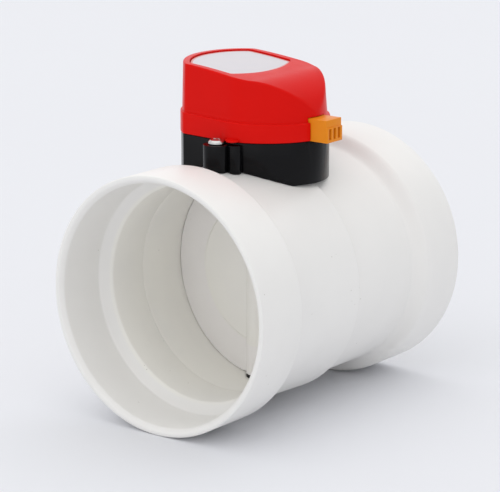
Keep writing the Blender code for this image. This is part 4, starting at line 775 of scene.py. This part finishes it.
class DAMPER_OT_blade(bpy.types.Operator):
    """Turn the blade disc with its raised centre, hub and screw seats"""

    bl_idname = "damper.blade"
    bl_label = "Blade"

    def execute(self, context):
        b = context.scene.damper_blade
        half = b.thickness / 2
        groove = b.groove_width / 2
        top = half + b.centre_rise
        side = [
            (0.0, top),
            (b.centre_radius - b.centre_rise, top),
            (b.centre_radius, half),
            (b.radius, half),
            (b.radius, groove),
            (b.radius - b.groove_depth, groove),
        ]
        section = side + [(r, -h) for r, h in side[::-1]]
        disc = spun("blade_disc", section, 128, "Y", closed=False)
        round_edges(disc, b.edge, 25.0)
        join(disc, bar("hub", b.hub_radius, -b.hub_end, b.hub_end, y=0.0, segments=64))
        past = b.radius + CUT_PAST
        cut(disc, bar("bore", b.shaft_radius, -past, past, y=0.0))
        for sign in (1, -1):
            low, high = sorted((sign * b.trim, sign * past))
            cut(disc, block("trim", (-past, -past, low), (past, past, high)))
            for radius, start, segments in ((b.screw_seat, b.screw_flat, 48), (b.screw_way, 0.0, 32)):
                way = bar("screw_way", radius, start, past, y=0.0, segments=segments)
                way.rotation_euler = (math.radians(-90), 0.0, 0.0)
                way.location = (0.0, 0.0, sign * b.screw_height)
                fix_place(way)
                cut(disc, way)
        disc.rotation_euler = (0.0, 0.0, CLOSED_TURN)
        disc.location = (0.0, SPINDLE_Y, 0.0)
        tones = context.scene.damper_finishes
        # Painted warm bounce light on the blade inside its raised centre's edge.
        finish = duct_plastic("blade_plastic", tones.bore, tones.blade, b.centre_radius)
        finish_piece(disc, "blade_disc", finish, TURNING, ["blade"])
        return {"FINISHED"}


def nose_run(h, inset, steps=48):
    """Points round the nose, from the front side to the rear one, as (x, offset from the shaft)."""
    points = []
    for i in range(steps + 1):
        turn = math.pi * (i / steps - 0.5)
        along = max(0.0, math.cos(turn)) ** (2 / h.nose_power)
        across = math.copysign(abs(math.sin(turn)) ** (2 / h.nose_power), turn)
        x = h.nose_centre + (h.nose_length - inset) * along
        points.append((x, (h.nose_half - inset) * across))
    return points


def bow_run(x, half, bulge, steps, rising):
    """Arc from one corner to the other about the shaft's line."""
    radius = (half**2 + bulge**2) / (2 * abs(bulge))
    centre = x + bulge - math.copysign(radius, bulge)
    swing = math.asin(half / radius)
    points = []
    for i in range(steps + 1):
        angle = swing * (2 * i / steps - 1)
        across = math.copysign(radius * math.cos(angle), bulge)
        points.append((centre + across, radius * math.sin(angle)))
    return points if rising else points[::-1]


def blend(start, end, share_of):
    """Point of a plan at a share of the way from one point to another."""
    return tuple(a + (b - a) * share_of for a, b in zip(start, end))


def straight_run(start, end, steps=16):
    """Points between two corners, without the corners."""
    return [blend(start, end, i / steps) for i in range(1, steps)]


def soft_corner(before, corner, after, reach, steps=4):
    """Rounded corner that starts and ends a short reach from the sharp one."""
    start, end = (blend(corner, other, reach / math.dist(corner, other)) for other in (before, after))
    shares = [i / steps for i in range(steps + 1)]
    return [blend(blend(start, corner, t), blend(corner, end, t), t) for t in shares]


def joined_plan(front, end, reach):
    """Closed plan of a front run and an end run, joined by straight sides and soft corners."""
    side = straight_run(front[-1], end[0])
    back = straight_run(end[-1], front[0])
    first = soft_corner(side[-1], end[0], end[1], reach)
    last = soft_corner(end[-2], end[-1], back[0], reach)
    return front + side + first + end[1:-1] + last + back


def housing_plan(h, inset):
    """Plan of the housing as (x, offset) points; its end corners move in less than its sides."""
    corner = h.end_corner + inset * CORNER_SHARE
    half = h.end_half - inset
    radius = math.hypot(half, corner - h.end_centre)
    end = bow_run(corner, half, h.end_centre - radius - corner, 24, False)
    return joined_plan(nose_run(h, inset), end, h.corner)


def label_plan(s, grow):
    """Plan of the label with the same runs of points as the housing."""
    half = s.half + grow
    far = bow_run(s.corner_far, half, s.bulge_far + grow, 40, True)
    near = bow_run(s.corner_near, half, -s.bulge_near - grow, 24, False)
    first = soft_corner((s.corner_near, -half), far[0], far[1], s.corner)
    last = soft_corner(far[-2], far[-1], (s.corner_near, half), s.corner)
    return joined_plan(first + far[1:-1] + last, near, s.corner)


def roof_height(h, x):
    """Height of the roof: a slight arch, then the fall to the nose."""
    if x <= h.shoulder_x:
        along = min(1.0, (h.shoulder_x - x) / h.arch_length)
        return h.shoulder_height + h.roof_rise * math.sin(math.pi / 2 * along)
    along = min(1.0, (x - h.shoulder_x) / (h.roof_end - h.shoulder_x))
    drop = (1.0 - along**h.roof_power) ** (1.0 / h.roof_power)
    return h.nose_foot + (h.shoulder_height - h.nose_foot) * drop


def ledge_height(h, x):
    """Height of the skirt's top edge, which falls from the bowed end to the nose."""
    tip = h.nose_centre + h.nose_length
    along = min(1.0, max(0.0, (x - h.end_corner) / (tip - h.end_corner)))
    return SEAM_HEIGHT + h.ledge_end + (h.ledge_nose - h.ledge_end) * along


def leaned(h, point, height):
    """Point of the upper wall's plan, drawn in as the draft asks at a height."""
    top = h.shoulder_height + h.roof_rise + CUT_PAST
    rise = (height - SEAM_HEIGHT) / (top - SEAM_HEIGHT)
    x, offset = point
    along = min(1.0, max(0.0, (x - h.end_corner) / (h.nose_centre - h.end_corner)))
    spread = h.end_share + (1.0 - h.end_share) * along
    lengthwise = h.draft if x > 0.0 else h.draft * h.end_share
    new_x = x * (1.0 - lengthwise * rise / h.nose_length)
    return new_x, offset * (1.0 - h.draft * spread * rise / h.nose_half)


def roof_edge_point(h, point):
    """Where the leaning wall above a plan point meets the roof."""
    low = ledge_height(h, point[0])
    high = h.shoulder_height + h.roof_rise + CUT_PAST
    for _ in range(40):
        middle = (low + high) / 2
        if roof_height(h, leaned(h, point, middle)[0]) > middle:
            low = middle
        else:
            high = middle
    return leaned(h, point, low)


def lifted(points, height_at):
    """Turn (x, offset) points into places, with a height for each x."""
    return [Vector((x, SPINDLE_Y + offset, height_at(x))) for x, offset in points]


def at_ledge(h, points, drop=0.0):
    """Turn plan points into places on the skirt's top edge, or a drop below it."""
    return lifted(points, lambda x: ledge_height(h, x) - drop)


def on_roof(h, points, drop=0.0):
    """Turn plan points into places on the roof, or a drop below it."""
    return lifted(points, lambda x: roof_height(h, x) - drop)


def drawn_in(s, points, share_of):
    """Plan points moved a share of the way to the label's middle."""
    middle = ((s.corner_near + s.corner_far) / 2, 0.0)
    return [blend(point, middle, share_of) for point in points]


def curved_rings(starts, corners, ends, steps=4):
    """Rings that round a sharp ring off, from a ring before it to one after it."""
    rings = []
    for i in range(steps + 1):
        t = i / steps
        rings.append([a.lerp(b, t).lerp(b.lerp(c, t), t) for a, b, c in zip(starts, corners, ends)])
    return rings


def wall_and_roof_rings(h, foot, crown_plan, opening, wall_steps=4, roof_steps=12, last_share=0.97):
    """Rings up the wall from its foot, round the crown and over the roof towards the label's opening."""
    crown = on_roof(h, crown_plan)
    starts = [c.lerp(f, min(MOST_OF_WALL, h.edge / (f - c).length)) for f, c in zip(foot, crown)]
    inward = [
        blend(c, o, min(MOST_OF_ROOF, h.edge / math.dist(c, o))) for c, o in zip(crown_plan, opening)
    ]
    rings = [[f.lerp(e, i / wall_steps) for f, e in zip(foot, starts)] for i in range(wall_steps)]
    rings += curved_rings(starts, crown, on_roof(h, inward))
    for i in range(1, roof_steps):
        near_edge = last_share - last_share * math.cos(math.pi / 2 * i / roof_steps)
        rings.append(on_roof(h, [blend(a, b, near_edge) for a, b in zip(inward, opening)]))
    return rings


def cover_rings(h, s, gap):
    """Rings of the cover's skin, from the seam up over the roof and down into the recess."""
    skirt = housing_plan(h, 0.0)
    plan = housing_plan(h, h.upper_inset)
    foot = at_ledge(h, [leaned(h, p, ledge_height(h, p[0])) for p in plan])
    opening = label_plan(s, gap)
    depth = s.sink + s.thickness + gap
    rings = [lifted(housing_plan(h, h.seam_edge), lambda x: SEAM_HEIGHT)]
    rings.append(lifted(skirt, lambda x: SEAM_HEIGHT + h.seam_edge))
    corner = at_ledge(h, skirt)
    nearly_foot = [c.lerp(f, 0.9) for c, f in zip(corner, foot)]
    rings += curved_rings(at_ledge(h, skirt, h.ledge_edge), corner, nearly_foot)
    rings += wall_and_roof_rings(h, foot, [roof_edge_point(h, p) for p in plan], opening)
    corner = on_roof(h, opening)
    below = [c - Vector((0.0, 0.0, gap)) for c in corner]
    rings += curved_rings(on_roof(h, label_plan(s, 2 * gap)), corner, below)
    rings += [on_roof(h, drawn_in(s, opening, i / 4), depth) for i in range(4)]
    return rings


def cavity_rings(h, s, gap):
    """Rings of the room inside the cover, one wall in from its skin."""
    plan = housing_plan(h, h.wall)
    drop = s.sink + s.thickness + gap + h.wall
    crown = [leaned(h, p, min(h.shoulder_height, roof_height(h, p[0]))) for p in plan]
    rings = [lifted(plan, lambda x: SEAM_HEIGHT - CUT_PAST)]
    for inner in (0.0, 0.08, 0.20, 0.36, 0.55, 0.75):
        rings.append(lifted(drawn_in(s, crown, inner), lambda x: roof_height(h, x + h.wall) - drop))
    return rings


def cover_lug(h, gap):
    """Level half-round tab beside the front ear's screw, cut off inside the cover's wall."""
    flank = SPINDLE_Y - h.nose_half
    bottom = SEAM_HEIGHT + gap
    top = bottom + h.lug_thickness
    lug = bar("lug", h.lug_radius, bottom, top, x=h.lug_x, y=flank)
    round_edges(lug, h.lug_thickness / 4, 30.0, 2)
    low = (h.lug_x - 2 * h.lug_radius, flank + h.wall / 2, bottom - CUT_PAST)
    high = (h.lug_x + 2 * h.lug_radius, flank + 2 * h.lug_radius, top + CUT_PAST)
    return cut(lug, block("lug_inside", low, high))


class DAMPER_OT_cover(bpy.types.Operator):
    """Shape the red cover from its plan, with skirt, roof, label recess and notches"""

    bl_idname = "damper.cover"
    bl_label = "Cover"

    def execute(self, context):
        h = context.scene.damper_housing
        gap = context.scene.damper_duct.gap
        label = context.scene.damper_label
        cover = closed_shell("cover_shell", cover_rings(h, label, gap))
        cut(cover, closed_shell("cavity", cavity_rings(h, label, gap)))
        for side in (-1, 1):
            y = SPINDLE_Y + side * h.ear_offset
            cut(cover, bar("notch", h.notch_radius, SEAM_HEIGHT - CUT_PAST, h.notch_top, y=y))
        low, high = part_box("terminal_block")
        room = Vector((gap, gap, gap))
        cut(cover, block("terminal_room", low - room, high + room))
        join(cover, cover_lug(h, gap))
        tone = context.scene.damper_finishes.cover
        finish = moulded_plastic("cover_plastic", tone, 0.32, 0.25, 2400.0, gloss=0.07)
        finish_piece(cover, "cover_shell", finish, STILL, ["actuator_cover"])
        return {"FINISHED"}


class DAMPER_OT_base(bpy.types.Operator):
    """Round the edges of the black base"""

    bl_idname = "damper.base"
    bl_label = "Base"

    def execute(self, context):
        base = merged_copy("actuator_base", "base_shell")
        round_edges(base, context.scene.damper_housing.base_edge, 35.0, 2)
        tone = context.scene.damper_finishes.base
        finish = moulded_plastic("base_plastic", tone, 0.22, 0.5, 2000.0, gloss=0.14)
        finish_piece(base, "base_shell", finish, STILL, ["actuator_base"])
        return {"FINISHED"}


class DAMPER_OT_label(bpy.types.Operator):
    """Make the blank label plate with its rim of painted red reflection and shade"""

    bl_idname = "damper.label"
    bl_label = "Label plate"

    def execute(self, context):
        h = context.scene.damper_housing
        s = context.scene.damper_label
        outline = label_plan(s, -s.border)
        inner = label_plan(s, -s.border - s.rim)
        under = s.sink + s.thickness
        rings = [
            on_roof(h, drawn_in(s, outline, 0.5), under),
            on_roof(h, outline, under),
            on_roof(h, outline, s.sink + s.edge),
            on_roof(h, label_plan(s, -s.border - s.edge), s.sink),
            on_roof(h, inner, s.sink),
            on_roof(h, label_plan(s, -s.border - s.rim - s.edge), s.sink),
        ]
        rim_end = len(rings) - 2
        rings += [on_roof(h, drawn_in(s, inner, i / 5), s.sink) for i in (1, 2, 3, 4)]
        plate = closed_shell("label_film", rings)
        ranks = [item.value for item in plate.data.attributes["rank"].data]
        # Rim attribute: where the painted red reflection and shade of the recess wall goes.
        rim = plate.data.color_attributes.new(name="rim", type="FLOAT_COLOR", domain="POINT")
        for item, rank in zip(rim.data, ranks):
            tint = 1.0 if rank <= rim_end else 0.0
            item.color = (tint, tint, tint, 1.0)
        finish = label_paper(context.scene.damper_finishes)
        finish_piece(plate, "label_film", finish, STILL, ["label_plate"], 25.0)
        return {"FINISHED"}


class DAMPER_OT_terminal(bpy.types.Operator):
    """Round the edges of the orange wire terminal"""

    bl_idname = "damper.terminal"
    bl_label = "Wire terminal"

    def execute(self, context):
        terminal = merged_copy("terminal_block", "terminal_body")
        round_edges(terminal, context.scene.damper_housing.terminal_edge, 35.0, 3)
        tone = context.scene.damper_finishes.terminal
        finish = moulded_plastic("terminal_plastic", tone, 0.38, 0.35, gloss=0.20)
        finish_piece(terminal, "terminal_body", finish, STILL, ["terminal_block"])
        return {"FINISHED"}


def screw_shape(name, tip, top, head_radius, head_height, shank):
    """Pan-head screw with a crossed recess, standing upright over the origin."""
    seat = top - head_height
    dome = ((0.0, 1.0), (0.45, 0.97), (0.80, 0.80), (0.97, 0.48), (1.0, 0.12), (0.97, 0.0))
    section = [(head_radius * across, seat + head_height * up) for across, up in dome]
    section += [(shank, seat), (shank, tip + shank), (shank * 0.3, tip), (0.0, tip)]
    screw = spun(name, section, 48, "Z", closed=False)
    arm = head_radius * 0.55
    thick = head_radius * 0.11
    for low, high in (((-arm, -thick), (arm, thick)), ((-thick, -arm), (thick, arm))):
        cut(screw, block("slot", (*low, top - head_height * 0.5), (*high, top + CUT_PAST)))
    round_edges(screw, head_radius * 0.03, 40.0, 2)
    return screw


class DAMPER_OT_screws(bpy.types.Operator):
    """Make the two ear screws"""

    bl_idname = "damper.screws"
    bl_label = "Ear screws"

    def execute(self, context):
        h = context.scene.damper_housing
        tone = context.scene.damper_finishes.metal
        finish = turned_metal("bright_steel", tone, 0.22, (600.0, 600.0, 600.0))
        for side in ("front", "rear"):
            name = "pan_screw_" + side
            low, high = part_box("ear_screw_" + side)
            radius = (high.x - low.x) / 2
            screw = screw_shape(name, low.z, high.z, radius, h.head_height, h.shank_radius)
            screw.location = ((low.x + high.x) / 2, (low.y + high.y) / 2, 0.0)
            finish_piece(screw, name, finish, STILL, ["ear_screw_" + side], 30.0)
        return {"FINISHED"}


def inner_finish(node, tones):
    """Finish of a CAD node that keeps its own mesh: the first row with a word of the node's name."""
    brass = (0.68, 0.46, 0.16)
    natural = (0.70, 0.67, 0.58)
    rows = (
        ("seal_", soft_rubber, "pale_seal_rubber", tones.seal),
        ("spindle_seal shaft_o_ring", soft_rubber, "black_rubber", (0.022, 0.022, 0.024)),
        ("_bush", moulded_plastic, "bush_plastic", (0.015, 0.015, 0.016), 0.38, 0.3, 1800.0),
        ("_clamp spacer pinion", turned_metal, "turned_brass", brass, 0.26, (900.0, 900.0, 300.0)),
        ("output_gear idler_gear _cam", moulded_plastic, "gear_acetal", natural, 0.34, 0.45, 1200.0),
        ("circuit_board", board_laminate, "board_laminate"),
        ("relay capacitor", moulded_plastic, "component_sleeve", (0.018, 0.020, 0.030), 0.33, 0.3, 2600.0),
        ("limit_switch", moulded_plastic, "switch_case", (0.020, 0.020, 0.021), 0.46, 0.3, 2600.0),
        ("motor_lead_cap", moulded_plastic, "lead_cap_nylon", (0.74, 0.72, 0.66), 0.40),
        ("motor_lead", moulded_plastic, "lead_insulation", (0.52, 0.02, 0.02), 0.45, 0.3, 3000.0),
        ("gear_plate", turned_metal, "plated_sheet", (0.56, 0.56, 0.55), 0.34, (30.0, 900.0, 30.0)),
        ("drive_motor", turned_metal, "motor_can", (0.50, 0.50, 0.51), 0.30, (40.0, 40.0, 700.0)),
        ("", turned_metal, "ground_steel", tones.metal, 0.24, (60.0, 60.0, 1100.0)),
    )
    for words, make, *values in rows:
        if any(word in node for word in words.split()) or not words:
            return bpy.data.materials.get(values[0]) or make(*values)


class DAMPER_OT_inner_finishes(bpy.types.Operator):
    """Give every CAD node that stays its own detailed finish"""

    bl_idname = "damper.inner_finishes"
    bl_label = "Inner finishes"

    def execute(self, context):
        for name, node in frame["nodes"].items():
            if node.hide_render:
                continue
            finish = inner_finish(name, context.scene.damper_finishes)
            node.data.materials.clear()
            node.data.materials.append(finish)
        return {"FINISHED"}


def view_direction(azimuth, elevation):
    """Direction from the object to a place at these angles, in degrees."""
    turn, tilt = math.radians(azimuth), math.radians(elevation)
    return Vector((math.sin(turn) * math.cos(tilt), -math.cos(turn) * math.cos(tilt), math.sin(tilt)))


def look_at(name, data, aim, back, distance):
    """Lamp or camera that looks at an aim from a distance."""
    thing = bpy.data.objects.new(name, data)
    thing.location = aim + back * distance
    thing.rotation_euler = (-back).to_track_quat("-Z", "Y").to_euler()
    bpy.context.scene.collection.objects.link(thing)
    return thing


def add_distant_lamp(name, strength, width, azimuth, elevation):
    """Wide distant lamp, so that the floor is lit evenly."""
    light = bpy.data.lights.new(name, "SUN")
    light.energy = strength
    light.angle = math.radians(width)
    look_at(name, light, Vector(), view_direction(azimuth, elevation), LAMP_DISTANCE)


def seen_directly(tree):
    """1 where the camera, a reflection or glass looks at a surface, and 0 for the light it gives."""
    rays = add_node(tree, "LightPath").outputs
    seen = calculate(tree, "MAXIMUM", rays["Is Camera Ray"], rays["Is Glossy Ray"])
    return calculate(tree, "MAXIMUM", seen, rays["Is Transmission Ray"])


def pale_world(strength):
    """Pale surroundings that give light in one strength and are seen in another."""
    world = bpy.data.worlds.new("pale_room")
    world.use_nodes = True
    tree = world.node_tree
    soft = feed(tree, tree.nodes["Background"], Color=(0.985, 0.99, 1.0), Strength=strength)
    seen = add_node(tree, "Background", Color=(0.83, 0.84, 0.88), Strength=1.0)
    mix = add_node(tree, "MixShader", Fac=seen_directly(tree))
    put(tree, mix.inputs[1], soft.outputs["Background"])
    put(tree, mix.inputs[2], seen.outputs["Background"])
    feed(tree, tree.nodes["World Output"], Surface=mix.outputs["Shader"])
    bpy.context.scene.world = world


def make_floor():
    """Wide pale floor that meets the surroundings softly."""
    deselect()
    centre = (0.0, SPINDLE_Y, FLOOR_HEIGHT - FLOOR_GAP)
    bpy.ops.mesh.primitive_circle_add(vertices=96, radius=4.0, fill_type="NGON", location=centre)
    floor = named("studio_floor")
    material, tree, shader = start_material("floor_paper", 0.15, Roughness=0.85)
    cloud = noise(tree, object_coordinates(tree), 3.0, 2.0)
    tone = mix_colours(tree, cloud, (0.805, 0.813, 0.847), (0.822, 0.83, 0.865))
    feed(tree, shader, Base_Color=tone)
    floor.data.materials.append(material)


class DAMPER_OT_stage(bpy.types.Operator):
    """Set the floor, the soft light and the camera"""

    bl_idname = "damper.stage"
    bl_label = "Stage"

    def execute(self, context):
        s = context.scene.damper_stage
        make_floor()
        pale_world(s.sky)
        for name, angles in LAMP_ANGLES.items():
            add_distant_lamp(name + "_lamp", getattr(s, name), s.lamp_size, *angles)
        lens = bpy.data.cameras.new("photo_camera")
        lens.lens = s.lens
        lens.sensor_width = 36.0
        lens.clip_start = 0.05
        lens.clip_end = 20.0
        aim = Vector((s.aim_x, SPINDLE_Y, s.aim_z))
        back = view_direction(s.azimuth, s.elevation)
        context.scene.camera = look_at("photo_camera", lens, aim, back, s.distance)
        context.scene.view_settings.view_transform = "Standard"
        return {"FINISHED"}


class DAMPER_PT_panel(bpy.types.Panel):
    bl_idname = "DAMPER_PT_panel"
    bl_label = "Motorized duct damper"
    bl_space_type = "VIEW_3D"
    bl_region_type = "UI"
    bl_category = "Damper"

    def draw(self, context):
        for step in STEPS:
            self.layout.operator(step.bl_idname)
        for name in SETTINGS:
            group = getattr(context.scene, name)
            box = self.layout.box()
            for key in group.__annotations__:
                box.prop(group, key)


SETTINGS = {
    "damper_duct": DuctSizes,
    "damper_blade": BladeSizes,
    "damper_housing": HousingSizes,
    "damper_label": LabelSizes,
    "damper_finishes": Finishes,
    "damper_stage": StageSettings,
}
STEPS = (
    DAMPER_OT_duct,
    DAMPER_OT_blade,
    DAMPER_OT_base,
    DAMPER_OT_cover,
    DAMPER_OT_label,
    DAMPER_OT_terminal,
    DAMPER_OT_screws,
    DAMPER_OT_inner_finishes,
    DAMPER_OT_stage,
)


def register():
    for name, group in SETTINGS.items():
        bpy.utils.register_class(group)
        setattr(bpy.types.Scene, name, PointerProperty(type=group))
    for step in STEPS:
        bpy.utils.register_class(step)
    bpy.utils.register_class(DAMPER_PT_panel)


def unregister():
    bpy.utils.unregister_class(DAMPER_PT_panel)
    for step in reversed(STEPS):
        bpy.utils.unregister_class(step)
    for name, group in SETTINGS.items():
        delattr(bpy.types.Scene, name)
        bpy.utils.unregister_class(group)


def main():
    register()
    for step in STEPS:
        area, name = step.bl_idname.split(".")
        getattr(getattr(bpy.ops, area), name)()


if __name__ == "__main__":
    main()
